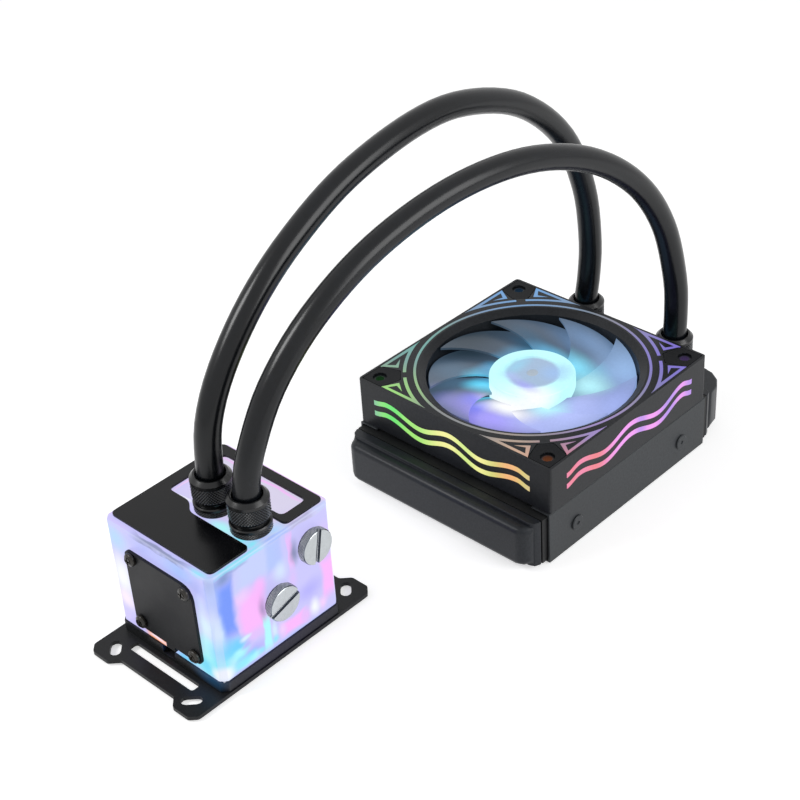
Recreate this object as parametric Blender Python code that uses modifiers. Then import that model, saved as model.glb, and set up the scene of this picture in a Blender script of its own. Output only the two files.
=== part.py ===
# All in one CPU liquid cooler: a pump and reservoir block, two hoses, and a
# 120 mm radiator with its fan on top.
# Metres, +Z up. The origin is the middle of the cold plate's contact face.
# +X faces the fill plugs, -Y faces the pump cover, and the radiator stands at +Y.

import bpy
import bmesh
from math import cos, hypot, pi, radians, sin
from mathutils import Matrix, Vector

MM = 0.001

# Gaps between pieces
SEAT = 0.3 * MM
BORE_CLEARANCE = 0.4 * MM
RUNNING_GAP = 0.6 * MM

# Mounting bracket, a bent-free steel plate with four slotted ears
BRACKET_WIDTH = 70.6 * MM
BRACKET_LENGTH = 109.2 * MM
BRACKET_THICKNESS = 2.0 * MM
BRACKET_RISE = 0.5 * MM
EAR_WIDTH = 16.5 * MM
EAR_CORNER = 3.4 * MM
EAR_REACH = 4.4 * MM
SLOT_PATTERN_X = 51.2 * MM
SLOT_PATTERN_Y = 93.6 * MM
SLOT_WIDTH = 5.0 * MM
SLOT_LENGTH = 9.6 * MM
WINDOW_SLOT_LENGTH = 43.0 * MM
WINDOW_SLOT_WIDTH = 4.8 * MM
WINDOW_SLOT_Y = 40.6 * MM

# Cold plate: contact pad, clamping flange and finned boss
PAD_SIZE = 50.0 * MM
PAD_HEIGHT = 2.8 * MM
FLANGE_SIZE = 54.0 * MM
FLANGE_THICKNESS = 1.8 * MM
BOSS_SIZE = 40.0 * MM
FIN_SLOT_WIDTH = 1.2 * MM
FIN_PITCH = 2.8 * MM
FIN_DEPTH = 2.0 * MM
FIN_FIELD = 30.0 * MM
SEAL_WIDTH = 3.0 * MM

# Base skirt under the block
SKIRT_HEIGHT = 4.9 * MM
SKIRT_PROUD = 0.4 * MM
BOARD_THICKNESS = 1.2 * MM
BOARD_WIDTH = 5.0 * MM
SKIRT_WALL = 1.5 * MM
CABLE_NOTCH_X = -1.6 * MM
CABLE_NOTCH_WIDTH = 8.0 * MM
CABLE_NOTCH_DEPTH = 4.6 * MM
BASE_SCREW_PATTERN = 61.0 * MM
BASE_SCREW_SHANK = 3.0 * MM
BASE_SCREW_HEAD = 5.6 * MM
BASE_SCREW_HEAD_DEPTH = 1.5 * MM
BASE_SCREW_LENGTH = 13.0 * MM

# Clear block that holds the coolant
BLOCK_X = 68.6 * MM
BLOCK_Y = 70.4 * MM
BLOCK_HEIGHT = 57.2 * MM
BLOCK_CHAMFER = 2.8 * MM
BLOCK_EDGE = 0.5 * MM
CHAMBER_HALF_X = 19.0 * MM
CHAMBER_FRONT = -4.0 * MM
CHAMBER_BACK = 30.0 * MM
CHAMBER_HEIGHT = 43.0 * MM
SUMP_HEIGHT = 7.0 * MM

# Pump, whose axis runs along Y behind the front cover
PUMP_X = 2.2 * MM
PUMP_Z = 35.2 * MM
PUMP_BORE_RADIUS = 18.0 * MM
PUMP_BORE_DEPTH = 24.0 * MM
MOTOR_DEPTH = 14.0 * MM
PUMP_SHAFT_RADIUS = 1.5 * MM
IMPELLER_RADIUS = 14.0 * MM
IMPELLER_DISC = 1.6 * MM
IMPELLER_HEIGHT = 6.0 * MM
IMPELLER_VANES = 5
INLET_RADIUS = 4.0 * MM
OUTLET_RADIUS = 3.0 * MM
OUTLET_X = -11.0 * MM
OUTLET_Y = -15.0 * MM
RING_GROOVE_RADIUS = 19.5 * MM
RING_GROOVE_WIDTH = 1.6 * MM
RING_GROOVE_DEPTH = 1.3 * MM
RING_SECTION = 1.0 * MM

# Pump cover and its screws
COVER_WIDTH = 43.2 * MM
COVER_HEIGHT = 42.4 * MM
COVER_THICKNESS = 1.5 * MM
COVER_X = 1.8 * MM
COVER_Z = 34.8 * MM
COVER_CORNER = 3.0 * MM
COVER_BIG_CORNER = 6.5 * MM
COVER_TAB_WIDTH = 6.0 * MM
COVER_TAB_DROP = 2.4 * MM
COVER_TAB_X = 2.6 * MM
COVER_SCREW_INSET_X = 4.1 * MM
COVER_SCREW_INSET_Z = 3.7 * MM
COVER_SCREW_HEAD = 6.4 * MM
COVER_SCREW_HEAD_HEIGHT = 2.1 * MM
COVER_SCREW_SHANK = 3.0 * MM
COVER_SCREW_LENGTH = 9.0 * MM
CROSS_WIDTH = 0.9 * MM
CROSS_LENGTH = 3.4 * MM
CROSS_DEPTH = 1.1 * MM

# Trim plate on top of the block
TRIM_HALF_X = 32.4 * MM
TRIM_FRONT = -32.3 * MM
TRIM_BACK = 33.0 * MM
TRIM_THICKNESS = 1.2 * MM
TRIM_CORNER = 3.0 * MM
TRIM_RIM = 5.3 * MM
TRIM_SOLID_EDGE = -9.9 * MM
TRIM_WINDOW_EDGE = -4.9 * MM
TRIM_HOOK_WIDTH = 3.0 * MM

# Fill plugs on the +X face
PLUG_HEAD_RADIUS = 8.65 * MM
PLUG_HEAD_HEIGHT = 3.8 * MM
PLUG_HEAD_EDGE = 0.5 * MM
PLUG_THREAD_RADIUS = 6.2 * MM
PLUG_THREAD_LENGTH = 6.0 * MM
PLUG_SLOT_WIDTH = 2.4 * MM
PLUG_SLOT_DEPTH = 1.6 * MM
PLUG_SEAL_THICKNESS = 0.6 * MM
PLUG_SEAL_RADIUS = 7.8 * MM
PLUG_PLACES = {
    "upper": (21.4 * MM, 50.2 * MM, -11.0),
    "lower": (-0.1 * MM, 32.8 * MM, -74.0),
}

# Where the radiator stands
RADIATOR_X = 24.4 * MM
RADIATOR_Y = 182.6 * MM

# Compression fittings, alike at the block and at the tank
FITTING_RING_RADIUS = 9.5 * MM
FITTING_RING_HEIGHT = 4.7 * MM
FITTING_NECK_RADIUS = 8.0 * MM
FITTING_NECK_HEIGHT = 1.2 * MM
FITTING_STEM_RADIUS = 6.2 * MM
FITTING_STEM_LENGTH = 6.0 * MM
FITTING_BORE_RADIUS = 4.0 * MM
FITTING_EDGE = 0.5 * MM
COLLAR_RADIUS = 9.4 * MM
COLLAR_HEIGHT = 12.2 * MM
COLLAR_CHAMFER = 1.4 * MM
BLOCK_FITTINGS = {"rear": (-1.2 * MM, 0.5 * MM), "side": (22.0 * MM, 0.5 * MM)}

# Hoses
HOSE_RADIUS = 6.0 * MM
HOSE_POINT_SPACING = 26.0 * MM

# Radiator, centred under the fan and as wide as it
FAN_SIZE = 120.0 * MM
RADIATOR_WIDTH = FAN_SIZE
SIDE_PLATE_HEIGHT = 28.1 * MM
SIDE_PLATE_OVERHANG = 0.7 * MM
SIDE_PLATE_LENGTH = FAN_SIZE + 2 * SIDE_PLATE_OVERHANG
SIDE_PLATE_WALL = 1.2 * MM
SIDE_FLANGE_WIDTH = 11.0 * MM
CORE_RISE = 1.6 * MM
CORE_HEIGHT = 24.9 * MM
CORE_OVERHANG = 3.4 * MM
CORE_LENGTH = SIDE_PLATE_LENGTH + 2 * CORE_OVERHANG
HEADER_THICKNESS = 5.6 * MM
CORE_EDGE = 1.4 * MM
TUBE_COUNT = 13
TUBE_MARGIN = 6.9 * MM
TUBE_PITCH = (RADIATOR_WIDTH - TUBE_MARGIN) / TUBE_COUNT
TUBE_WIDTH = 2.2 * MM
FIN_ROWS = 5
FIN_THICKNESS = 1.2 * MM
RIVET_RADIUS = 4.0 * MM
RIVET_HEAD = 0.7 * MM
RIVET_SHANK_RADIUS = 2.0 * MM
RIVET_HOLE_RADIUS = 1.0 * MM
RIVET_INSET = 19.9 * MM
RIVET_SPREAD = SIDE_PLATE_LENGTH - 2 * RIVET_INSET
RIVET_Z = 12.4 * MM

# Tanks: a rim against the core and a rounded body beyond it
TANK_INSET = 3.1 * MM
TANK_WIDTH = RADIATOR_WIDTH - 2 * TANK_INSET
TANK_RISE = 3.4 * MM
TANK_WALL = 1.8 * MM
RIM_INSET = 1.5 * MM
RIM_WIDTH = RADIATOR_WIDTH - 2 * RIM_INSET
RIM_RISE = 1.6 * MM
RIM_HEIGHT = 25.0 * MM
RIM_DEPTH = 5.0 * MM
RIM_EDGE = 1.5 * MM
RIM_CORNER = 4.0 * MM
FRONT_TANK_DEPTH = 5.6 * MM
FRONT_TANK_HEIGHT = 21.4 * MM
FRONT_TANK_CORNER = 6.0 * MM
FRONT_TANK_EDGE = 3.2 * MM
REAR_TANK_DEPTH = 18.0 * MM
REAR_TANK_HEIGHT = 21.4 * MM
REAR_TANK_CORNER = 16.0 * MM
REAR_TANK_EDGE = 3.2 * MM
TANK_BOSS_RADIUS = 10.4 * MM
TANK_BOSS_HEIGHT = 2.0 * MM
TANK_PORT_REACH = 13.4 * MM
TANK_PORT_Y = RADIATOR_Y + CORE_LENGTH / 2 + TANK_PORT_REACH
REAR_PORT_OFFSET = -27.6 * MM
SIDE_PORT_OFFSET = 28.8 * MM
TANK_FITTINGS = {"rear": (RADIATOR_X + REAR_PORT_OFFSET, TANK_PORT_Y),
                 "side": (RADIATOR_X + SIDE_PORT_OFFSET, TANK_PORT_Y)}

# Fan frame
FAN_THICKNESS = 25.0 * MM
FAN_CORNER = 1.6 * MM
FAN_WALL = 8.0 * MM
FAN_BORE_RADIUS = FAN_SIZE / 2 - FAN_WALL
FAN_FLARE_SPREAD = 3.6 * MM
FAN_FLARE_RADIUS = FAN_BORE_RADIUS + FAN_FLARE_SPREAD
FAN_FLARE_DEPTH = 3.2 * MM
SCREW_HOLE_INSET = 7.5 * MM
SCREW_HOLE_PITCH = FAN_SIZE - 2 * SCREW_HOLE_INSET
SCREW_HOLE_RADIUS = 2.15 * MM
MOTOR_BASE_RADIUS = 21.0 * MM
MOTOR_BASE_THICKNESS = 2.6 * MM
STRUT_COUNT = 4
STRUT_WIDTH = 5.0 * MM
STRUT_RISE = 0.3 * MM
BEARING_TUBE_RADIUS = 4.6 * MM
BEARING_TUBE_HEIGHT = 15.0 * MM

# Textured corner pads let into the frame's top face
PAD_INSET = 1.6 * MM
PAD_REACH = 14.0 * MM
PAD_INNER = 17.3 * MM
PAD_CUT = 11.9 * MM
PAD_THICKNESS = 0.9 * MM
PAD_HOLE_RADIUS = 3.6 * MM

# Fan rotor
HUB_RADIUS = 21.2 * MM
HUB_TOP_GAP = 3.2 * MM
HUB_HEIGHT = 17.0 * MM
HUB_WALL = 1.8 * MM
HUB_EDGE = 1.2 * MM
HUB_DISC_RADIUS = 13.9 * MM
HUB_DISC_DEPTH = 0.3 * MM
HUB_DIMPLE_RADIUS = 3.0 * MM
HUB_DIMPLE_DEPTH = 0.6 * MM
BLADE_COUNT = 9
BLADE_TIP_GAP = 1.4 * MM
BLADE_TIP_RADIUS = FAN_BORE_RADIUS - BLADE_TIP_GAP
BLADE_THICKNESS = 1.4 * MM
BLADE_SPAN = 58.0
BLADE_SWEEP = 34.0
BLADE_LEAD_HUB = 15.0 * MM
BLADE_LEAD_TIP = 22.4 * MM
BLADE_DROP_HUB = 7.0 * MM
BLADE_DROP_TIP = 10.0 * MM
BLADE_RINGS = 4
BLADE_STEPS = 6
SHAFT_RADIUS = 1.5 * MM
BEARING_RADIUS = 3.6 * MM
MAGNET_THICKNESS = 1.8 * MM
STATOR_RADIUS = 14.6 * MM
STATOR_HEIGHT = 8.0 * MM
FAN_BOARD_THICKNESS = 1.2 * MM

ROUND = 20
SMALL_ROUND = 10
BIG_ROUND = 48

# Heights that follow from the sizes above
BRACKET_TOP = BRACKET_RISE + BRACKET_THICKNESS
SKIRT_BOTTOM = BRACKET_TOP + SEAT
SKIRT_TOP = SKIRT_BOTTOM + SKIRT_HEIGHT
BLOCK_BOTTOM = SKIRT_TOP + SEAT
BLOCK_TOP = BLOCK_BOTTOM + BLOCK_HEIGHT
COVER_FACE = -BLOCK_Y / 2 - SEAT
PLUG_FACE = BLOCK_X / 2
FAN_BOTTOM = SIDE_PLATE_HEIGHT + SEAT
FAN_TOP = FAN_BOTTOM + FAN_THICKNESS
TANK_BOSS_TOP = TANK_RISE + REAR_TANK_HEIGHT + TANK_BOSS_HEIGHT
HUB_TOP = FAN_TOP - HUB_TOP_GAP

# Hose routes above the fittings, chosen by hand along the photographed arches: millimetres to one
# side of the straight way between the fittings, share of that way, and height in millimetres
REAR_HOSE_ROUTE = [
    (0.02, 0.01117, 107.8), (-0.09, 0.05393, 129.2), (-0.13, 0.13290, 151.8), (-0.13, 0.23305, 170.0),
    (-0.17, 0.36402, 184.8), (-0.24, 0.52889, 192.3), (-0.28, 0.66063, 189.4), (-0.29, 0.80701, 174.0),
    (-0.25, 0.92643, 146.0), (-0.02, 0.99114, 111.0), (0.12, 1.01117, 78.0), (0.01, 1.00655, 56.0),
]
SIDE_HOSE_ROUTE = [
    (0.11, 0.01579, 102.5), (-0.08, 0.06972, 128.3), (-0.05, 0.16179, 151.8), (-0.10, 0.29160, 170.2),
    (-0.12, 0.45262, 180.0), (-0.15, 0.61710, 178.4), (-0.26, 0.76464, 164.8), (-0.25, 0.88290, 141.3),
    (-0.09, 0.95801, 112.0), (-0.07, 0.99576, 77.8), (-0.05, 1.00154, 56.0),
]

PARTS = "all_in_one_cpu_liquid_cooler"
CUTTERS = "cutters"


def clear_scene():
    """Remove every object that the file starts with."""
    for old in list(bpy.data.objects):
        bpy.data.objects.remove(old, do_unlink=True)


def new_collection(name):
    """Make a collection in the scene."""
    group = bpy.data.collections.new(name)
    bpy.context.scene.collection.children.link(group)
    return group


def finish(obj, colour, roughness, metallic=0.0, alpha=1.0):
    """Give a sub-part its own Principled material and put it among the parts."""
    surface = bpy.data.materials.new(obj.name + "_finish")
    surface.use_nodes = True
    shader = surface.node_tree.nodes["Principled BSDF"]
    shader.inputs["Base Color"].default_value = (*colour, 1.0)
    shader.inputs["Roughness"].default_value = roughness
    shader.inputs["Metallic"].default_value = metallic
    shader.inputs["Alpha"].default_value = alpha
    obj.data.materials.clear()
    obj.data.materials.append(surface)
    bpy.data.collections[PARTS].objects.link(obj)
    return obj


def hide_cutter(obj):
    """Keep a cutting shape out of the part."""
    obj.hide_render = True
    obj.display_type = "WIRE"
    bpy.data.collections[CUTTERS].objects.link(obj)
    return obj


def mesh_object(name, shape):
    """Turn a bmesh into a smooth-shaded object with sharp edges kept."""
    bmesh.ops.recalc_face_normals(shape, faces=shape.faces)
    mesh = bpy.data.meshes.new(name)
    shape.to_mesh(mesh)
    shape.free()
    mesh.shade_smooth()
    mesh.set_sharp_from_angle(angle=radians(35))
    return bpy.data.objects.new(name, mesh)


def box(name, low, high):
    """Make a box between two corners."""
    shape = bmesh.new()
    bmesh.ops.create_cube(shape, size=1.0)
    size = Vector(high) - Vector(low)
    bmesh.ops.scale(shape, vec=size, verts=shape.verts)
    bmesh.ops.translate(shape, vec=Vector(low) + size / 2, verts=shape.verts)
    return mesh_object(name, shape)


def square_block(name, size, bottom, top):
    """Make a square block centred on Z."""
    return box(name, (-size / 2, -size / 2, bottom), (size / 2, size / 2, top))


def rod(name, radius, start, end, segments=ROUND):
    """Make a cylinder between two points."""
    start, end = Vector(start), Vector(end)
    shape = bmesh.new()
    bmesh.ops.create_cone(shape, cap_ends=True, segments=segments, radius1=radius,
                          radius2=radius, depth=(end - start).length)
    turn = Vector((0, 0, 1)).rotation_difference(end - start).to_matrix().to_4x4()
    place = Matrix.Translation((start + end) / 2) @ turn
    bmesh.ops.transform(shape, matrix=place, verts=shape.verts)
    return mesh_object(name, shape)


def turned(name, profile, place=(0, 0, 0), turn=(0, 0, 0), segments=ROUND, ring=False):
    """Turn a profile of (radius, height) points about the object's own Z axis."""
    mesh = bpy.data.meshes.new(name)
    points = [(radius, 0.0, height) for radius, height in profile]
    edges = [(index, index + 1) for index in range(len(points) - 1)]
    if ring:
        edges.append((len(points) - 1, 0))
    mesh.from_pydata(points, edges, [])
    obj = bpy.data.objects.new(name, mesh)
    obj.location = place
    obj.rotation_euler = turn
    screw = obj.modifiers.new("turn", "SCREW")
    screw.axis = "Z"
    screw.steps = segments
    screw.render_steps = segments
    screw.use_merge_vertices = True
    screw.merge_threshold = 0.00001
    screw.use_smooth_shade = True
    return obj


def disc_profile(radius, bottom, top):
    """Profile of a plain solid disc, run down its outer side."""
    return [(0.0, top), (radius, top), (radius, bottom), (0.0, bottom)]


def ring_profile(inner, outer, bottom, top):
    """Closed profile of a plain ring."""
    return [(inner, top), (outer, top), (outer, bottom), (inner, bottom)]


def flat_solid(name, loops, bottom, top):
    """Extrude flat outlines; loops inside another are holes."""
    curve = bpy.data.curves.new(name, "CURVE")
    curve.dimensions = "2D"
    curve.fill_mode = "BOTH"
    curve.extrude = (top - bottom) / 2
    for loop in loops:
        spline = curve.splines.new("POLY")
        spline.points.add(len(loop) - 1)
        for point, (x, y) in zip(spline.points, loop):
            point.co = (x, y, 0.0, 1.0)
        spline.use_cyclic_u = True
    carrier = bpy.data.objects.new(name + "_outline", curve)
    bpy.context.scene.collection.objects.link(carrier)
    bpy.context.view_layer.update()
    evaluated = carrier.evaluated_get(bpy.context.evaluated_depsgraph_get())
    mesh = bpy.data.meshes.new_from_object(evaluated)
    bpy.data.objects.remove(carrier, do_unlink=True)
    shape = bmesh.new()
    shape.from_mesh(mesh)
    bpy.data.meshes.remove(mesh)
    bmesh.ops.remove_doubles(shape, verts=shape.verts, dist=0.000001)
    bmesh.ops.translate(shape, vec=(0, 0, (bottom + top) / 2), verts=shape.verts)
    return mesh_object(name, shape)


def arc(centre, radius, first, last, steps):
    """Points along an arc, in degrees."""
    points = []
    for index in range(steps + 1):
        angle = radians(first + (last - first) * index / steps)
        points.append((centre[0] + radius * cos(angle), centre[1] + radius * sin(angle)))
    return points


def circle(centre, radius, segments=ROUND):
    """Points round a circle."""
    return arc(centre, radius, 0, 360, segments)[:-1]


def rounded_rectangle(low, high, radii, steps=4):
    """Outline with its own corner radius at each corner, from low-left round."""
    corners = [
        ((low[0], low[1]), (1, 1), 180), ((high[0], low[1]), (-1, 1), 270),
        ((high[0], high[1]), (-1, -1), 0), ((low[0], high[1]), (1, -1), 90),
    ]
    points = []
    for ((x, y), (side_x, side_y), first), radius in zip(corners, radii):
        centre = (x + side_x * radius, y + side_y * radius)
        points += arc(centre, radius, first, first + 90, steps)
    return points


def eased(points, radius, steps=2):
    """Round every corner of an outline by the same small radius."""
    result = []
    count = len(points)
    for index, point in enumerate(points):
        here = Vector(point)
        back = Vector(points[index - 1]) - here
        ahead = Vector(points[(index + 1) % count]) - here
        reach = min(radius, back.length * 0.45, ahead.length * 0.45)
        first = here + back.normalized() * reach
        last = here + ahead.normalized() * reach
        for step in range(steps + 1):
            share = step / steps
            bend = first * (1 - share) ** 2 + here * (2 * share * (1 - share)) + last * share ** 2
            result.append((bend.x, bend.y))
    return result


def chamfered_box(name, half_x, half_y, chamfer, bottom, top):
    """Make an upright block with chamfered vertical corners."""
    outline = [
        (-half_x + chamfer, -half_y), (half_x - chamfer, -half_y),
        (half_x, -half_y + chamfer), (half_x, half_y - chamfer),
        (half_x - chamfer, half_y), (-half_x + chamfer, half_y),
        (-half_x, half_y - chamfer), (-half_x, -half_y + chamfer),
    ]
    return flat_solid(name, [outline], bottom, top)


def boolean(obj, tool, operation):
    """Cut an object with, or join it to, a hidden shape."""
    hide_cutter(tool)
    step = obj.modifiers.new(tool.name, "BOOLEAN")
    step.object = tool
    step.operation = operation
    step.solver = "EXACT"
    return obj


def cut(obj, tool):
    """Cut a hidden shape out of an object."""
    return boolean(obj, tool, "DIFFERENCE")


def join(obj, tool):
    """Add a hidden shape to an object."""
    return boolean(obj, tool, "UNION")


def bevel(obj, width, segments=2, angle=35):
    """Ease an object's sharp edges."""
    step = obj.modifiers.new("eased_edges", "BEVEL")
    step.width = width
    step.segments = segments
    step.limit_method = "ANGLE"
    step.angle_limit = radians(angle)
    step.use_clamp_overlap = True
    return obj


def smooth_route(points, spacing):
    """Straight ends, with even steps between them along a smooth curve."""
    path = [Vector(point) for point in points]
    dense = []
    for index in range(1, len(path) - 2):
        before, start, end, after = path[index - 1:index + 3]
        for step in range(20):
            t = step / 20
            dense.append(0.5 * (2 * start + (end - before) * t
                                + (2 * before - 5 * start + 4 * end - after) * t ** 2
                                + (3 * start - before - 3 * end + after) * t ** 3))
    dense.append(path[-2])
    lengths = [0.0]
    for first, second in zip(dense, dense[1:]):
        lengths.append(lengths[-1] + (second - first).length)
    count = max(2, round(lengths[-1] / spacing))
    result = [path[0], path[1]]
    index = 0
    for step in range(1, count):
        target = lengths[-1] * step / count
        while lengths[index + 1] < target:
            index += 1
        share = (target - lengths[index]) / (lengths[index + 1] - lengths[index])
        result.append(dense[index].lerp(dense[index + 1], share))
    return result + [path[-2], path[-1]]


# Pump and block


def mounting_bracket():
    """Steel plate with four slotted ears, two see-through slots and a window."""
    half_x, half_y = BRACKET_WIDTH / 2, BRACKET_LENGTH / 2
    inner_x = half_x - EAR_WIDTH
    quarter = [
        (inner_x - EAR_CORNER * 0.3, half_y - EAR_REACH), (inner_x + EAR_CORNER, half_y),
        (half_x - EAR_CORNER, half_y), (half_x, half_y - EAR_CORNER),
    ]
    outline = [(x, y) for x, y in quarter]
    outline += [(x, -y) for x, y in reversed(quarter)]
    outline += [(-x, -y) for x, y in quarter]
    outline += [(-x, y) for x, y in reversed(quarter)]
    loops = [eased(outline, 0.8 * MM)]
    window = PAD_SIZE / 2 + SEAT
    loops.append([(-window, -window), (window, -window), (window, window), (-window, window)])
    for side in (-1, 1):
        y = side * WINDOW_SLOT_Y
        loops.append(rounded_rectangle(
            (-WINDOW_SLOT_LENGTH / 2, y - WINDOW_SLOT_WIDTH / 2),
            (WINDOW_SLOT_LENGTH / 2, y + WINDOW_SLOT_WIDTH / 2), [1.2 * MM] * 4, 2))
        for across in (-1, 1):
            loops.append(ear_slot(across * SLOT_PATTERN_X / 2, side * SLOT_PATTERN_Y / 2,
                                  45 if across * side < 0 else -45))
    plate = flat_solid("mounting_bracket", loops, BRACKET_RISE, BRACKET_TOP)
    for index, (x, y) in enumerate(base_screw_places()):
        cut(plate, turned("bracket_countersink_%d" % index, base_screw_profile(BORE_CLEARANCE),
                          (x, y, BRACKET_RISE), segments=SMALL_ROUND))
    return finish(plate, (0.025, 0.025, 0.027), 0.42, 0.6)


def ear_slot(x, y, turn):
    """Outline of one diagonal mounting slot."""
    reach = (SLOT_LENGTH - SLOT_WIDTH) / 2
    ends = arc((reach, 0), SLOT_WIDTH / 2, -90, 90, 5) + arc((-reach, 0), SLOT_WIDTH / 2, 90, 270, 5)
    c, s = cos(radians(turn)), sin(radians(turn))
    return [(x + c * px - s * py, y + s * px + c * py) for px, py in ends]


def base_screw_places():
    """Centres of the four screws that clamp the base to the block."""
    half = BASE_SCREW_PATTERN / 2
    return [(-half, -half), (half, -half), (half, half), (-half, half)]


def base_screw_profile(clearance):
    """Countersunk screw, or its hole when a clearance is given."""
    head = BASE_SCREW_HEAD / 2 + clearance / 2
    shank = BASE_SCREW_SHANK / 2 + clearance / 2
    top = BASE_SCREW_LENGTH + clearance
    return [(0.0, top), (shank, top), (shank, BASE_SCREW_HEAD_DEPTH + clearance),
            (head, clearance), (head, -clearance * 2), (0.0, -clearance * 2)]


def base_screws():
    """Four flat-head screws, flush under the bracket."""
    for index, (x, y) in enumerate(base_screw_places()):
        screw = turned("base_screw_%d" % (index + 1), base_screw_profile(0.0),
                       (x, y, BRACKET_RISE), segments=SMALL_ROUND)
        finish(screw, (0.05, 0.05, 0.05), 0.35, 0.9)


def cold_plate():
    """Copper plate: contact pad, clamping flange and a finned boss."""
    plate = square_block("cold_plate", PAD_SIZE, 0.0, PAD_HEIGHT)
    flange_top = PAD_HEIGHT + FLANGE_THICKNESS
    join(plate, square_block("cold_plate_flange", FLANGE_SIZE, PAD_HEIGHT, flange_top))
    join(plate, square_block("cold_plate_boss", BOSS_SIZE, flange_top, SKIRT_TOP))
    count = int(FIN_FIELD / FIN_PITCH)
    for index in range(count):
        x = (index - (count - 1) / 2) * FIN_PITCH
        cut(plate, box("fin_slot_%d" % index,
                       (x - FIN_SLOT_WIDTH / 2, -FIN_FIELD / 2, SKIRT_TOP - FIN_DEPTH),
                       (x + FIN_SLOT_WIDTH / 2, FIN_FIELD / 2, SKIRT_TOP + MM)))
    return finish(plate, (0.72, 0.36, 0.2), 0.25, 1.0)


def cold_plate_seal():
    """Rubber ring between the cold plate's flange and the block."""
    inner = BOSS_SIZE / 2 + BORE_CLEARANCE
    outer = inner + SEAL_WIDTH
    loops = [rounded_rectangle((-size, -size), (size, size), [MM] * 4, 2) for size in (outer, inner)]
    bottom = PAD_HEIGHT + FLANGE_THICKNESS + SEAT
    return finish(flat_solid("cold_plate_seal", loops, bottom, SKIRT_TOP), (0.02, 0.02, 0.02), 0.8)


def base_skirt():
    """Black frame round the cold plate, stepped for the light board and notched in front."""
    half_x, half_y = BLOCK_X / 2 + SKIRT_PROUD, BLOCK_Y / 2 + SKIRT_PROUD
    skirt = chamfered_box("base_skirt", half_x, half_y, BLOCK_CHAMFER, SKIRT_BOTTOM, SKIRT_TOP)
    window = FLANGE_SIZE + 2 * SEAT
    cut(skirt, square_block("skirt_window", window, SKIRT_BOTTOM - MM, SKIRT_TOP + MM))
    shelf = SKIRT_TOP - BOARD_THICKNESS - SEAT
    cut(skirt, box("skirt_shelf", (-half_x + SKIRT_WALL, -half_y + SKIRT_WALL, shelf),
                   (half_x - SKIRT_WALL, half_y - SKIRT_WALL, SKIRT_TOP + MM)))
    cut(skirt, box("cable_notch",
                   (CABLE_NOTCH_X - CABLE_NOTCH_WIDTH / 2, -half_y - MM, SKIRT_BOTTOM + MM),
                   (CABLE_NOTCH_X + CABLE_NOTCH_WIDTH / 2, -half_y + CABLE_NOTCH_DEPTH,
                    SKIRT_TOP + MM)))
    for index, (x, y) in enumerate(base_screw_places()):
        cut(skirt, rod("skirt_screw_hole_%d" % index, BASE_SCREW_SHANK / 2 + BORE_CLEARANCE / 2,
                       (x, y, SKIRT_BOTTOM - MM), (x, y, SKIRT_TOP + MM), SMALL_ROUND))
    return finish(skirt, (0.02, 0.02, 0.022), 0.45)


def light_board():
    """Ring-shaped light board on the skirt's shelf."""
    outer_x = BLOCK_X / 2 + SKIRT_PROUD - SKIRT_WALL - SEAT
    outer_y = BLOCK_Y / 2 + SKIRT_PROUD - SKIRT_WALL - SEAT
    inner = FLANGE_SIZE / 2 + BORE_CLEARANCE
    loops = [
        [(-outer_x, -outer_y), (outer_x, -outer_y), (outer_x, outer_y), (-outer_x, outer_y)],
        [(-inner, -inner), (inner, -inner), (inner, inner), (-inner, inner)],
    ]
    loops += [circle(place, BASE_SCREW_SHANK / 2 + BORE_CLEARANCE / 2, SMALL_ROUND)
              for place in base_screw_places()]
    board = flat_solid("light_board", loops, SKIRT_TOP - BOARD_THICKNESS, SKIRT_TOP)
    return finish(board, (0.85, 0.85, 0.85), 0.5)


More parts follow.
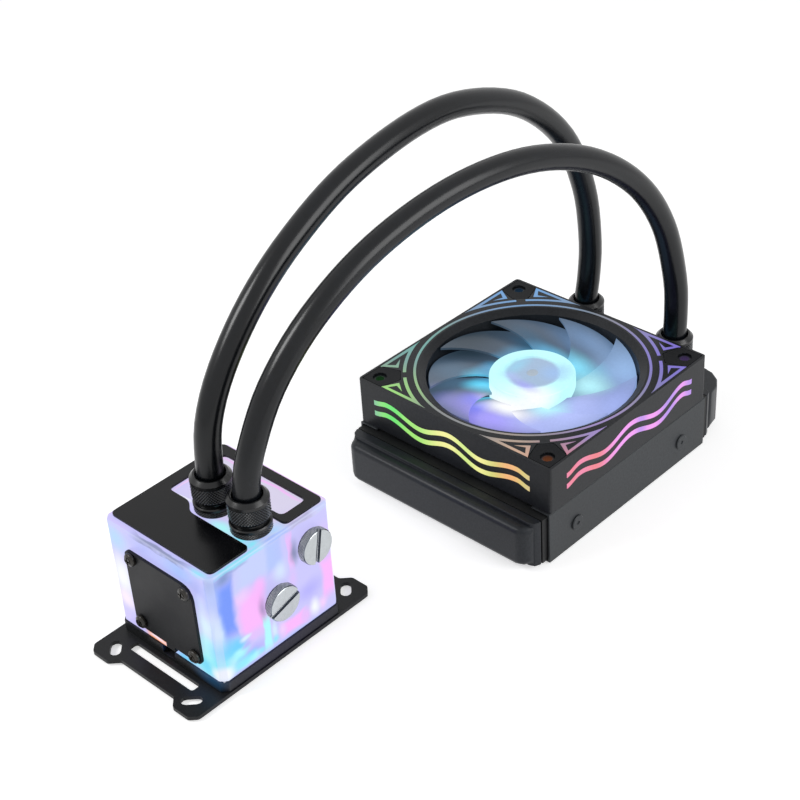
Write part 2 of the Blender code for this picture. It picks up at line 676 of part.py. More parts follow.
def reservoir_block():
    """Frosted clear block with its chamber, pump bore, ports and screw holes."""
    block = chamfered_box("reservoir_block", BLOCK_X / 2, BLOCK_Y / 2, BLOCK_CHAMFER,
                          BLOCK_BOTTOM, BLOCK_TOP)
    bevel(block, BLOCK_EDGE, 1)
    below = BLOCK_BOTTOM - MM
    cut(block, box("coolant_chamber", (-CHAMBER_HALF_X, CHAMBER_FRONT, below),
                   (CHAMBER_HALF_X, BOSS_SIZE / 2 - MM, BLOCK_BOTTOM + SUMP_HEIGHT)))
    cut(block, box("coolant_reserve", (-CHAMBER_HALF_X, CHAMBER_FRONT, BLOCK_BOTTOM + SUMP_HEIGHT - MM),
                   (CHAMBER_HALF_X, CHAMBER_BACK, BLOCK_BOTTOM + CHAMBER_HEIGHT)))
    front = -BLOCK_Y / 2
    back = front + PUMP_BORE_DEPTH
    cut(block, rod("pump_bore", PUMP_BORE_RADIUS, (PUMP_X, front - MM, PUMP_Z),
                   (PUMP_X, back, PUMP_Z), ROUND))
    cut(block, rod("pump_inlet", INLET_RADIUS, (PUMP_X, back - MM, PUMP_Z),
                   (PUMP_X, CHAMBER_FRONT + MM, PUMP_Z), SMALL_ROUND))
    cut(block, rod("pump_outlet", OUTLET_RADIUS, (OUTLET_X, OUTLET_Y, below),
                   (OUTLET_X, OUTLET_Y, PUMP_Z - MM), SMALL_ROUND))
    cut(block, turned("seal_groove", ring_profile(
        RING_GROOVE_RADIUS - RING_GROOVE_WIDTH / 2, RING_GROOVE_RADIUS + RING_GROOVE_WIDTH / 2,
        -MM, RING_GROOVE_DEPTH), (PUMP_X, front, PUMP_Z), (radians(-90), 0, 0), ROUND, True))
    for index, (x, z) in enumerate(cover_screw_places()):
        cut(block, rod("cover_screw_hole_%d" % index, COVER_SCREW_SHANK / 2 + BORE_CLEARANCE / 2,
                       (x, front - MM, z), (x, front + COVER_SCREW_LENGTH, z), SMALL_ROUND))
    for name, (x, y) in BLOCK_FITTINGS.items():
        cut(block, rod("port_" + name, FITTING_STEM_RADIUS + BORE_CLEARANCE,
                       (x, y, BLOCK_BOTTOM + CHAMBER_HEIGHT - MM), (x, y, BLOCK_TOP + MM)))
    for name, (y, z, _) in PLUG_PLACES.items():
        cut(block, rod("fill_hole_" + name, PLUG_THREAD_RADIUS + BORE_CLEARANCE,
                       (CHAMBER_HALF_X - MM, y, z), (PLUG_FACE + MM, y, z)))
    for index, (x, y) in enumerate(base_screw_places()):
        top = BRACKET_RISE + BASE_SCREW_LENGTH + BORE_CLEARANCE
        cut(block, rod("block_screw_hole_%d" % index, BASE_SCREW_SHANK / 2 + BORE_CLEARANCE / 2,
                       (x, y, below), (x, y, top), SMALL_ROUND))
    return finish(block, (0.72, 0.76, 1.0), 0.35, 0.0, 0.6)


def top_trim_plate():
    """Black plate, solid in front, framing the rear window and open beside one fitting."""
    inner_left = -TRIM_HALF_X + TRIM_RIM + 1.5 * MM
    inner_right = TRIM_HALF_X - TRIM_RIM
    inner_back = TRIM_BACK - TRIM_RIM
    fit_x, fit_y = BLOCK_FITTINGS["side"]
    hook_front = fit_y + FITTING_RING_RADIUS + SEAT
    hook_end = fit_x - 1.5 * MM
    chamfer = 1.6 * MM
    outline = [
        (-TRIM_HALF_X, TRIM_FRONT), (TRIM_HALF_X, TRIM_FRONT),
        (TRIM_HALF_X, TRIM_SOLID_EDGE - chamfer), (TRIM_HALF_X - chamfer, TRIM_SOLID_EDGE),
        (-6.0 * MM, TRIM_SOLID_EDGE), (-11.5 * MM, TRIM_WINDOW_EDGE),
        (inner_left, TRIM_WINDOW_EDGE), (inner_left, inner_back),
        (inner_right, inner_back), (inner_right, hook_front + TRIM_HOOK_WIDTH),
        (hook_end, hook_front + TRIM_HOOK_WIDTH), (hook_end, hook_front),
        (TRIM_HALF_X, hook_front), (TRIM_HALF_X, TRIM_BACK), (-TRIM_HALF_X, TRIM_BACK),
    ]
    bottom = BLOCK_TOP + SEAT
    plate = flat_solid("top_trim_plate", [eased(outline, TRIM_CORNER, 4)], bottom,
                       bottom + TRIM_THICKNESS)
    return finish(plate, (0.012, 0.012, 0.014), 0.4)


def cover_screw_places():
    """Centres of the pump cover's four screws, as (x, z), round the pump's axis."""
    reach_x = COVER_WIDTH / 2 - COVER_SCREW_INSET_X
    reach_z = COVER_HEIGHT / 2 - COVER_SCREW_INSET_Z
    return [(PUMP_X + side * reach_x, PUMP_Z + rise * reach_z)
            for side, rise in ((-1, -1), (1, -1), (1, 1), (-1, 1))]


def pump_cover():
    """Black plate over the pump, with a tab down to the cable notch."""
    low = (-COVER_WIDTH / 2, -COVER_HEIGHT / 2)
    high = (COVER_WIDTH / 2, COVER_HEIGHT / 2)
    outline = rounded_rectangle(low, high,
                                [COVER_CORNER, COVER_CORNER, COVER_BIG_CORNER, COVER_CORNER])
    tab_left = COVER_TAB_X - COVER_X - COVER_TAB_WIDTH / 2
    tab_right = tab_left + COVER_TAB_WIDTH
    tab_end = low[1] - COVER_TAB_DROP
    outline[5:5] = [(tab_left, low[1]), (tab_left, tab_end), (tab_right, tab_end), (tab_right, low[1])]
    holes = [circle((x - COVER_X, z - COVER_Z), COVER_SCREW_SHANK / 2 + BORE_CLEARANCE / 2, SMALL_ROUND)
             for x, z in cover_screw_places()]
    plate = flat_solid("pump_cover", [outline] + holes, 0.0, COVER_THICKNESS)
    plate.location = (COVER_X, COVER_FACE, COVER_Z)
    plate.rotation_euler = (radians(90), 0, 0)
    return finish(plate, (0.018, 0.018, 0.02), 0.38)


def cover_screws():
    """Four cross-head screws through the pump cover."""
    seat = COVER_FACE - COVER_THICKNESS - SEAT
    head = COVER_SCREW_HEAD / 2
    edge = 0.6 * MM
    tip = -COVER_SCREW_LENGTH + COVER_THICKNESS
    profile = [(0.0, COVER_SCREW_HEAD_HEIGHT), (head - edge, COVER_SCREW_HEAD_HEIGHT),
               (head, COVER_SCREW_HEAD_HEIGHT - edge), (head, 0.0),
               (COVER_SCREW_SHANK / 2, 0.0), (COVER_SCREW_SHANK / 2, tip), (0.0, tip)]
    for index, (x, z) in enumerate(cover_screw_places()):
        name = "cover_screw_%d" % (index + 1)
        screw = turned(name, profile, (x, seat, z), (radians(90), 0, 0), SMALL_ROUND)
        top = seat - COVER_SCREW_HEAD_HEIGHT
        for label, half_x, half_z in (("flat", CROSS_LENGTH, CROSS_WIDTH),
                                      ("tall", CROSS_WIDTH, CROSS_LENGTH)):
            cut(screw, box(name + "_" + label, (x - half_x / 2, top - MM, z - half_z / 2),
                           (x + half_x / 2, top + CROSS_DEPTH, z + half_z / 2)))
        finish(screw, (0.015, 0.015, 0.015), 0.3, 0.7)


def pump_seal():
    """Round rubber seal in the block's groove."""
    half = RING_SECTION / 2
    profile = ring_profile(RING_GROOVE_RADIUS - half, RING_GROOVE_RADIUS + half,
                           0.0, RING_SECTION)
    ring = turned("pump_seal", profile, (PUMP_X, -BLOCK_Y / 2, PUMP_Z), (radians(-90), 0, 0), ROUND, True)
    return finish(ring, (0.02, 0.02, 0.02), 0.8)


def pump_motor():
    """Sealed motor behind the cover, with the fixed pin that the impeller runs on."""
    radius = PUMP_BORE_RADIUS - BORE_CLEARANCE
    pin_top = PUMP_BORE_DEPTH - SEAT * 2
    edge = 1.0 * MM
    profile = [(0.0, pin_top), (PUMP_SHAFT_RADIUS, pin_top), (PUMP_SHAFT_RADIUS, MOTOR_DEPTH),
               (radius - edge, MOTOR_DEPTH), (radius, MOTOR_DEPTH - edge), (radius, 0.0), (0.0, 0.0)]
    motor = turned("pump_motor", profile, (PUMP_X, -BLOCK_Y / 2, PUMP_Z), (radians(-90), 0, 0), ROUND)
    return finish(motor, (0.04, 0.04, 0.045), 0.5)


def pump_impeller():
    """Vaned wheel that turns on the motor's pin."""
    bore = PUMP_SHAFT_RADIUS + BORE_CLEARANCE
    base = MOTOR_DEPTH + RUNNING_GAP
    place = (PUMP_X, -BLOCK_Y / 2 + base, PUMP_Z)
    turn = (radians(-90), 0, 0)
    hub = 4.0 * MM
    profile = [(bore, IMPELLER_HEIGHT), (hub, IMPELLER_HEIGHT), (hub, IMPELLER_DISC),
               (IMPELLER_RADIUS, IMPELLER_DISC), (IMPELLER_RADIUS, 0.0), (bore, 0.0)]
    wheel = turned("pump_impeller", profile, place, turn, ROUND, True)
    for index in range(IMPELLER_VANES):
        angle = 2 * pi * index / IMPELLER_VANES
        outline = vane_outline(hub - 0.6 * MM, IMPELLER_RADIUS - 0.4 * MM, 1.4 * MM, angle)
        vane = flat_solid("impeller_vane_%d" % index, [outline], IMPELLER_DISC - 0.4 * MM,
                          IMPELLER_HEIGHT - 0.6 * MM)
        vane.location = place
        vane.rotation_euler = turn
        join(wheel, vane)
    return finish(wheel, (0.05, 0.05, 0.05), 0.5)


def vane_outline(inner, outer, width, start):
    """Outline of a backward-curved vane."""
    steps = 4
    sides = ([], [])
    for index in range(steps + 1):
        share = index / steps
        radius = inner + (outer - inner) * share
        angle = start - radians(46) * share
        for side, sign in zip(sides, (-1, 1)):
            side.append((radius * cos(angle) - sign * sin(angle) * width / 2,
                         radius * sin(angle) + sign * cos(angle) * width / 2))
    return sides[0] + sides[1][::-1]


def fill_plugs():
    """Coin-slotted plugs, each with its sealing ring, screwed into the +X face."""
    turn = (0, radians(90), 0)
    bottom = PLUG_FACE + SEAT + PLUG_SEAL_THICKNESS + SEAT
    for name, (y, z, slot_turn) in PLUG_PLACES.items():
        profile = [(0.0, PLUG_HEAD_HEIGHT), (PLUG_HEAD_RADIUS - PLUG_HEAD_EDGE, PLUG_HEAD_HEIGHT),
                   (PLUG_HEAD_RADIUS, PLUG_HEAD_HEIGHT - PLUG_HEAD_EDGE), (PLUG_HEAD_RADIUS, 0.0),
                   (PLUG_THREAD_RADIUS, 0.0), (PLUG_THREAD_RADIUS, -PLUG_THREAD_LENGTH),
                   (0.0, -PLUG_THREAD_LENGTH)]
        plug = turned("fill_plug_" + name, profile, (bottom, y, z), turn, ROUND)
        slot = box("coin_slot_" + name,
                   (PLUG_HEAD_HEIGHT - PLUG_SLOT_DEPTH, -PLUG_SLOT_WIDTH / 2, -PLUG_HEAD_RADIUS - MM),
                   (PLUG_HEAD_HEIGHT + MM, PLUG_SLOT_WIDTH / 2, PLUG_HEAD_RADIUS + MM))
        slot.location = (bottom, y, z)
        slot.rotation_euler = (radians(slot_turn), 0, 0)
        cut(plug, slot)
        finish(plug, (0.75, 0.75, 0.75), 0.22, 1.0)
        seal = turned("plug_seal_" + name,
                      ring_profile(PLUG_THREAD_RADIUS + BORE_CLEARANCE, PLUG_SEAL_RADIUS,
                                   0.0, PLUG_SEAL_THICKNESS),
                      (PLUG_FACE + SEAT, y, z), turn, ROUND, True)
        finish(seal, (0.02, 0.02, 0.02), 0.8)


# Fittings and hoses


def hose_fitting(name, place, seat):
    """Compression fitting: a threaded base with a knurled ring, and its collar."""
    ring_top = FITTING_RING_HEIGHT
    neck_top = ring_top + FITTING_NECK_HEIGHT
    bore = FITTING_BORE_RADIUS
    base = turned("fitting_base_" + name, [
        (bore, neck_top), (FITTING_NECK_RADIUS, neck_top), (FITTING_NECK_RADIUS, ring_top),
        (FITTING_RING_RADIUS - FITTING_EDGE, ring_top),
        (FITTING_RING_RADIUS, ring_top - FITTING_EDGE), (FITTING_RING_RADIUS, 0.0),
        (FITTING_STEM_RADIUS, 0.0), (FITTING_STEM_RADIUS, -FITTING_STEM_LENGTH),
        (bore, -FITTING_STEM_LENGTH)], (*place, seat + SEAT), segments=ROUND, ring=True)
    finish(base, (0.015, 0.015, 0.017), 0.35, 0.6)
    inner = HOSE_RADIUS + BORE_CLEARANCE
    collar = turned("fitting_collar_" + name, [
        (inner, COLLAR_HEIGHT), (COLLAR_RADIUS - COLLAR_CHAMFER, COLLAR_HEIGHT),
        (COLLAR_RADIUS, COLLAR_HEIGHT - COLLAR_CHAMFER), (COLLAR_RADIUS, 0.0),
        (inner, 0.0)], (*place, seat + 2 * SEAT + neck_top), segments=ROUND, ring=True)
    finish(collar, (0.015, 0.015, 0.017), 0.35, 0.6)


def hose(name, start, end, route):
    """Plain rubber hose from one fitting to the other."""
    stub = FITTING_RING_HEIGHT + FITTING_NECK_HEIGHT + 2 * SEAT
    straight = COLLAR_HEIGHT + 2 * MM
    block_seat = BLOCK_TOP + stub
    tank_seat = TANK_BOSS_TOP + stub
    points = [(*start, block_seat), (*start, block_seat + straight)]
    for aside, share, height in route:
        x, y = Vector(start).lerp(Vector(end), share)
        points.append((x + aside * MM, y, height * MM))
    points += [(*end, tank_seat + straight), (*end, tank_seat)]
    path = smooth_route(points, HOSE_POINT_SPACING)
    curve = bpy.data.curves.new(name, "CURVE")
    curve.dimensions = "3D"
    curve.bevel_depth = HOSE_RADIUS
    curve.bevel_resolution = 3
    curve.use_fill_caps = True
    spline = curve.splines.new("POLY")
    spline.points.add(len(path) - 1)
    for point, place in zip(spline.points, path):
        point.co = (*place, 1.0)
    return finish(bpy.data.objects.new(name, curve), (0.012, 0.012, 0.016), 0.38)


# Radiator


def radiator_core():
    """Brazed core: thirteen flat tubes, the fin rows between them and two headers."""
    half_length = CORE_LENGTH / 2
    half_width = RADIATOR_WIDTH / 2 - SIDE_PLATE_WALL - SEAT
    edge = half_width - CORE_EDGE
    fin_start = -half_length + HEADER_THICKNESS
    row = (CORE_LENGTH - 2 * HEADER_THICKNESS + FIN_THICKNESS) / FIN_ROWS
    loops = [[(-half_width, -half_length), (half_width, -half_length),
              (half_width, half_length), (-half_width, half_length)]]
    for column in range(TUBE_COUNT + 1):
        left = (column - (TUBE_COUNT + 1) / 2) * TUBE_PITCH + TUBE_WIDTH / 2
        right = min(left + TUBE_PITCH - TUBE_WIDTH, edge)
        left = max(left, -edge)
        for index in range(FIN_ROWS):
            front = fin_start + index * row
            back = front + row - FIN_THICKNESS
            loops.append([(left, front), (right, front), (right, back), (left, back)])
    core = flat_solid("radiator_core", loops, CORE_RISE, CORE_RISE + CORE_HEIGHT)
    core.location = (RADIATOR_X, RADIATOR_Y, 0)
    return finish(core, (0.015, 0.015, 0.016), 0.5, 0.5)


def side_plates():
    """Folded channel along each side of the core, with the fan's screw holes."""
    half = RADIATOR_WIDTH / 2
    top = SIDE_PLATE_HEIGHT
    wall = SIDE_PLATE_WALL
    reach = SIDE_FLANGE_WIDTH
    length = SIDE_PLATE_LENGTH
    section = [(0, 0), (reach, 0), (reach, wall), (wall, wall), (wall, top - wall),
               (reach, top - wall), (reach, top), (0, top)]
    for name, side in (("left", 1), ("right", -1)):
        plate = flat_solid("side_plate_" + name, [section], -length / 2, length / 2)
        plate.rotation_euler = (radians(90), 0, 0 if side > 0 else pi)
        plate.location = (RADIATOR_X - side * half, RADIATOR_Y, 0)
        bevel(plate, 0.5 * MM, 1)
        for index in (-1, 1):
            x = RADIATOR_X - side * SCREW_HOLE_PITCH / 2
            y = RADIATOR_Y + index * SCREW_HOLE_PITCH / 2
            cut(plate, rod("%s_screw_hole_%d" % (name, index + 2), SCREW_HOLE_RADIUS,
                           (x, y, -MM), (x, y, top + MM), SMALL_ROUND))
            rivet_x = RADIATOR_X - side * half
            rivet_y = RADIATOR_Y + index * RIVET_SPREAD / 2
            cut(plate, rod("%s_rivet_hole_%d" % (name, index + 2),
                           RIVET_SHANK_RADIUS + BORE_CLEARANCE,
                           (rivet_x - side * MM, rivet_y, RIVET_Z),
                           (rivet_x + side * (wall + MM), rivet_y, RIVET_Z), SMALL_ROUND))
        finish(plate, (0.022, 0.022, 0.024), 0.45, 0.4)


def side_rivets():
    """Hollow rivets, two in each side plate."""
    hole = RIVET_HOLE_RADIUS
    depth = SIDE_PLATE_WALL + SEAT
    profile = [(0.0, RIVET_HEAD - 0.5 * MM), (hole, RIVET_HEAD - 0.5 * MM), (hole, RIVET_HEAD),
               (RIVET_RADIUS - 0.4 * MM, RIVET_HEAD), (RIVET_RADIUS, RIVET_HEAD - 0.4 * MM),
               (RIVET_RADIUS, 0.0), (RIVET_SHANK_RADIUS, 0.0),
               (RIVET_SHANK_RADIUS, -depth), (0.0, -depth)]
    for name, side in (("left", -1), ("right", 1)):
        for index in (-1, 1):
            place = (RADIATOR_X + side * (RADIATOR_WIDTH / 2 + SEAT),
                     RADIATOR_Y + index * RIVET_SPREAD / 2, RIVET_Z)
            rivet = turned("rivet_%s_%d" % (name, (index + 3) // 2), profile, place,
                           (0, radians(90 * side), 0), SMALL_ROUND)
            finish(rivet, (0.03, 0.03, 0.032), 0.4, 0.5)


def tank(name, side, depth, height, corner, edge):
    """Tank cup: a rounded body with a rim, open towards the core."""
    near = CORE_LENGTH / 2 + SEAT
    rim_end = near + RIM_DEPTH
    end = near + RIM_DEPTH + depth
    overlap = 1.0 * MM
    top = TANK_RISE + height
    half_body, half_rim = TANK_WIDTH / 2, RIM_WIDTH / 2
    small = MM
    body = flat_solid(name, [rounded_rectangle(
        (-half_body, near + overlap), (half_body, end), [small, small, corner, corner], 4)],
        TANK_RISE, top)
    bevel(body, edge, 2)
    rim = flat_solid(name + "_rim", [rounded_rectangle(
        (-half_rim, near), (half_rim, rim_end), [small, small, RIM_CORNER, RIM_CORNER], 2)],
        RIM_RISE, RIM_RISE + RIM_HEIGHT)
    bevel(rim, RIM_EDGE, 1)
    wall = TANK_WALL
    hollow = flat_solid(name + "_hollow", [rounded_rectangle(
        (-half_body + wall, near - MM), (half_body - wall, end - wall),
        [small, small, corner - wall, corner - wall], 3)], TANK_RISE + wall, top - wall)
    for piece in (body, rim, hollow):
        piece.location = (RADIATOR_X, RADIATOR_Y, 0)
        if side < 0:
            piece.rotation_euler = (0, 0, pi)
    join(body, rim)
    cut(body, hollow)
    if side > 0:
        for port, (x, y) in TANK_FITTINGS.items():
            boss_top = top + TANK_BOSS_HEIGHT
            join(body, rod("tank_boss_" + port, TANK_BOSS_RADIUS,
                           (x, y, top - 0.7 * wall), (x, y, boss_top), 32))
            cut(body, rod("tank_port_" + port, FITTING_STEM_RADIUS + BORE_CLEARANCE,
                          (x, y, top - wall - MM), (x, y, boss_top + MM)))
    return finish(body, (0.022, 0.022, 0.024), 0.4, 0.4)


# Fan


def fan_point(x, y, z=0.0):
    """A place given from the fan's centre and bottom face."""
    return (RADIATOR_X + x, RADIATOR_Y + y, FAN_BOTTOM + z)


def pad_outline(extra):
    """Five-sided outline of the pad in the +X +Y corner."""
    edge = FAN_SIZE / 2 - PAD_INSET + extra
    side = FAN_SIZE / 2 - PAD_REACH - extra
    inner = FAN_SIZE / 2 - PAD_INNER - extra
    shoulder = FAN_SIZE / 2 - PAD_CUT
    return [(edge, edge), (side, edge), (inner, shoulder), (shoulder, inner), (edge, side)]


def turned_points(points, quarter):
    """Turn an outline by quarter turns."""
    angle = quarter * pi / 2
    return [(cos(angle) * x - sin(angle) * y, sin(angle) * x + cos(angle) * y) for x, y in points]


def fan_frame():
    """Square moulding with its bore, motor base, struts and bearing tube."""
    half = FAN_SIZE / 2
    outline = rounded_rectangle((-half, -half), (half, half), [FAN_CORNER] * 4, 2)
    frame = flat_solid("fan_frame", [outline, circle((0, 0), FAN_BORE_RADIUS, BIG_ROUND)],
                       0.0, FAN_THICKNESS)
    frame.location = fan_point(0, 0)
    flare_bottom = FAN_THICKNESS - FAN_FLARE_DEPTH
    cut(frame, turned("fan_flare", [
        (0.0, FAN_THICKNESS + MM), (FAN_FLARE_RADIUS, FAN_THICKNESS + MM),
        (FAN_FLARE_RADIUS, FAN_THICKNESS), (FAN_BORE_RADIUS - MM, flare_bottom),
        (0.0, flare_bottom)], fan_point(0, 0), segments=BIG_ROUND))
    join(frame, turned("motor_base", [
        (BEARING_RADIUS + SEAT, BEARING_TUBE_HEIGHT), (BEARING_TUBE_RADIUS, BEARING_TUBE_HEIGHT),
        (BEARING_TUBE_RADIUS, MOTOR_BASE_THICKNESS), (MOTOR_BASE_RADIUS, MOTOR_BASE_THICKNESS),
        (MOTOR_BASE_RADIUS, 0.0), (BEARING_RADIUS + SEAT, 0.0)],
        fan_point(0, 0), segments=ROUND, ring=True))
    for index in range(STRUT_COUNT):
        angle = radians(45 + 360 / STRUT_COUNT * index)
        strut = box("strut_%d" % index,
                    (MOTOR_BASE_RADIUS - 2 * MM, -STRUT_WIDTH / 2, STRUT_RISE),
                    (FAN_BORE_RADIUS + 2 * MM, STRUT_WIDTH / 2,
                     MOTOR_BASE_THICKNESS - STRUT_RISE))
        strut.location = fan_point(0, 0)
        strut.rotation_euler = (0, 0, angle)
        join(frame, strut)
    for quarter in range(4):
        recess = flat_solid("pad_recess_%d" % quarter,
                            [turned_points(pad_outline(SEAT), quarter)],
                            FAN_THICKNESS - PAD_THICKNESS - SEAT, FAN_THICKNESS + MM)
        recess.location = fan_point(0, 0)
        cut(frame, recess)
        x, y = turned_points([(SCREW_HOLE_PITCH / 2, SCREW_HOLE_PITCH / 2)], quarter)[0]
        cut(frame, rod("frame_screw_hole_%d" % quarter, SCREW_HOLE_RADIUS,
                       fan_point(x, y, -MM), fan_point(x, y, FAN_THICKNESS + MM), SMALL_ROUND))
    return finish(frame, (0.02, 0.02, 0.022), 0.42)


def corner_pads():
    """Textured rubber pad let into each corner of the frame."""
    hole = circle((SCREW_HOLE_PITCH / 2, SCREW_HOLE_PITCH / 2), PAD_HOLE_RADIUS, SMALL_ROUND)
    for quarter in range(4):
        loops = [turned_points(eased(pad_outline(0.0), MM), quarter), turned_points(hole, quarter)]
        pad = flat_solid("corner_pad_%d" % (quarter + 1), loops,
                         FAN_THICKNESS - PAD_THICKNESS, FAN_THICKNESS)
        pad.location = fan_point(0, 0)
        finish(pad, (0.01, 0.01, 0.01), 0.75)


def blade(index):
    """One wide blade: a swept surface from the hub to the tip, thickened."""
    shape = bmesh.new()
    start = 360 / BLADE_COUNT * index
    root = HUB_RADIUS - 0.9 * MM
    rows = []
    for ring in range(BLADE_RINGS):
        share = ring / (BLADE_RINGS - 1)
        radius = root + (BLADE_TIP_RADIUS - root) * share
        lead = BLADE_LEAD_HUB + (BLADE_LEAD_TIP - BLADE_LEAD_HUB) * share ** 0.8
        drop = BLADE_DROP_HUB + (BLADE_DROP_TIP - BLADE_DROP_HUB) * share
        row = []
        for step in range(BLADE_STEPS + 1):
            chord = step / BLADE_STEPS
            angle = radians(start + BLADE_SWEEP * share - BLADE_SPAN * chord)
            camber = 1.6 * MM * sin(pi * chord)
            height = lead - drop * chord + camber
            row.append(shape.verts.new((radius * cos(angle), radius * sin(angle), height)))
        rows.append(row)
    for lower, upper in zip(rows, rows[1:]):
        for step in range(BLADE_STEPS):
            shape.faces.new((lower[step], lower[step + 1], upper[step + 1], upper[step]))
    obj = mesh_object("blade_%d" % index, shape)
    obj.location = fan_point(0, 0)
    skin = obj.modifiers.new("thickness", "SOLIDIFY")
    skin.thickness = BLADE_THICKNESS
    skin.offset = 0.0
    return obj


def fan_rotor():
    """Milky hub and blades in one moulding, turning about the fan's axis."""
    top = HUB_TOP - FAN_BOTTOM
    bottom = top - HUB_HEIGHT
    inner = HUB_RADIUS - HUB_WALL
    roof = top - 2.2 * MM
    dimple = HUB_DIMPLE_RADIUS
    rotor = turned("fan_rotor", [
        (0.0, top - HUB_DIMPLE_DEPTH), (dimple, top - HUB_DIMPLE_DEPTH),
        (dimple, top - HUB_DISC_DEPTH), (HUB_DISC_RADIUS, top - HUB_DISC_DEPTH),
        (HUB_DISC_RADIUS, top), (HUB_RADIUS - HUB_EDGE, top),
        (HUB_RADIUS - HUB_EDGE * 0.3, top - HUB_EDGE * 0.3), (HUB_RADIUS, top - HUB_EDGE),
        (HUB_RADIUS, bottom), (inner, bottom), (inner, roof),
        (SHAFT_RADIUS + SEAT, roof), (SHAFT_RADIUS + SEAT, top - 1.2 * MM), (0.0, top - 1.2 * MM)],
        fan_point(0, 0), segments=32)
    for index in range(BLADE_COUNT):
        join(rotor, blade(index))
    return finish(rotor, (0.8, 0.85, 0.95), 0.45, 0.0, 0.8)


def fan_motor():
    """Shaft, magnet ring, bearing, stator and light board inside the hub."""
    top = HUB_TOP - FAN_BOTTOM
    roof = top - 2.2 * MM
    shaft = turned("fan_shaft", disc_profile(SHAFT_RADIUS, MM, top - 1.2 * MM - SEAT),
                   fan_point(0, 0), segments=SMALL_ROUND)
    finish(shaft, (0.7, 0.7, 0.72), 0.2, 1.0)
    outer = HUB_RADIUS - HUB_WALL - SEAT
    magnet_bottom = top - HUB_HEIGHT + MM
    magnet = turned("magnet_ring", ring_profile(outer - MAGNET_THICKNESS, outer, magnet_bottom,
                                                roof - SEAT),
                    fan_point(0, 0), segments=ROUND, ring=True)
    finish(magnet, (0.08, 0.08, 0.085), 0.5, 0.3)
    bearing = turned("fan_bearing", ring_profile(SHAFT_RADIUS + SEAT, BEARING_RADIUS,
                                                 MM, BEARING_TUBE_HEIGHT),
                     fan_point(0, 0), segments=SMALL_ROUND, ring=True)
    finish(bearing, (0.6, 0.45, 0.2), 0.35, 1.0)
    board_top = MOTOR_BASE_THICKNESS + SEAT + FAN_BOARD_THICKNESS
    board = turned("fan_light_board", ring_profile(BEARING_TUBE_RADIUS + BORE_CLEARANCE,
                                                   MOTOR_BASE_RADIUS - MM,
                                                   MOTOR_BASE_THICKNESS + SEAT, board_top),
                   fan_point(0, 0), segments=ROUND, ring=True)
    finish(board, (0.85, 0.85, 0.85), 0.5)
    stator_bottom = board_top + SEAT
    stator = turned("fan_stator", ring_profile(BEARING_TUBE_RADIUS + SEAT, STATOR_RADIUS,
                                               stator_bottom, stator_bottom + STATOR_HEIGHT),
                    fan_point(0, 0), segments=ROUND, ring=True)
    finish(stator, (0.45, 0.22, 0.1), 0.4, 0.6)


def build():
    """Make every sub-part."""
    clear_scene()
    new_collection(PARTS)
    new_collection(CUTTERS)
    cold_plate()
    cold_plate_seal()
    mounting_bracket()
    base_screws()
    base_skirt()
    light_board()
    reservoir_block()
    top_trim_plate()
    pump_cover()
    cover_screws()
    pump_seal()
    pump_motor()
    pump_impeller()
    fill_plugs()
    for name in ("rear", "side"):
        hose_fitting("block_" + name, BLOCK_FITTINGS[name], BLOCK_TOP)
        hose_fitting("tank_" + name, TANK_FITTINGS[name], TANK_BOSS_TOP)
    hose("hose_rear", BLOCK_FITTINGS["rear"], TANK_FITTINGS["rear"], REAR_HOSE_ROUTE)
    hose("hose_side", BLOCK_FITTINGS["side"], TANK_FITTINGS["side"], SIDE_HOSE_ROUTE)
    radiator_core()
    side_plates()
    side_rivets()
    tank("front_tank", -1, FRONT_TANK_DEPTH, FRONT_TANK_HEIGHT, FRONT_TANK_CORNER,
         FRONT_TANK_EDGE)
    tank("rear_tank", 1, REAR_TANK_DEPTH, REAR_TANK_HEIGHT, REAR_TANK_CORNER, REAR_TANK_EDGE)
    fan_frame()
    corner_pads()
    fan_rotor()
    fan_motor()
    bpy.context.view_layer.update()


build()
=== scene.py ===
from math import atan2, ceil, cos, hypot, pi, radians, sin

import bmesh
import bpy
from mathutils import Matrix, Vector


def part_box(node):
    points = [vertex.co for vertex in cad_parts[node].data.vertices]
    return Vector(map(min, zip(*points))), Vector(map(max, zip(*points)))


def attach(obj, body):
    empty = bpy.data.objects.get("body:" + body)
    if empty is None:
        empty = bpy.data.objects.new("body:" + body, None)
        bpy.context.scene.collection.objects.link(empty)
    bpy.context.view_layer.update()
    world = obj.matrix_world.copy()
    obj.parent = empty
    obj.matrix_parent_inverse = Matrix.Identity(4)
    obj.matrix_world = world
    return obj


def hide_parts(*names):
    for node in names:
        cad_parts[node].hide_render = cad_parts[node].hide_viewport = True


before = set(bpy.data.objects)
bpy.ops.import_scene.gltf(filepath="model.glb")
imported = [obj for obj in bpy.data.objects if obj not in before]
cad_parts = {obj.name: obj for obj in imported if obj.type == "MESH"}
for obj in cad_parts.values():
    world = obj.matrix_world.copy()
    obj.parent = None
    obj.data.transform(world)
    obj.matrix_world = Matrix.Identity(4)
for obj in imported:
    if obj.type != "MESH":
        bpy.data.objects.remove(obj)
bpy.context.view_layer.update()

# Camera
# The photograph was taken from the front right, a little above the hoses' arch.
# Place, aim, roll and lens were fitted to the four corners of the 120 mm fan.
CAMERA_PLACE = Vector((0.4819, -0.3583, 0.5212))
CAMERA_AIM = Vector((-0.02006, 0.13480, 0.04042))
CAMERA_ROLL = -4.01
CAMERA_LENS = 78.30


def new_object(name, data):
    """An object of some data, put in the scene."""
    made = bpy.data.objects.new(name, data)
    bpy.context.scene.collection.objects.link(made)
    return made


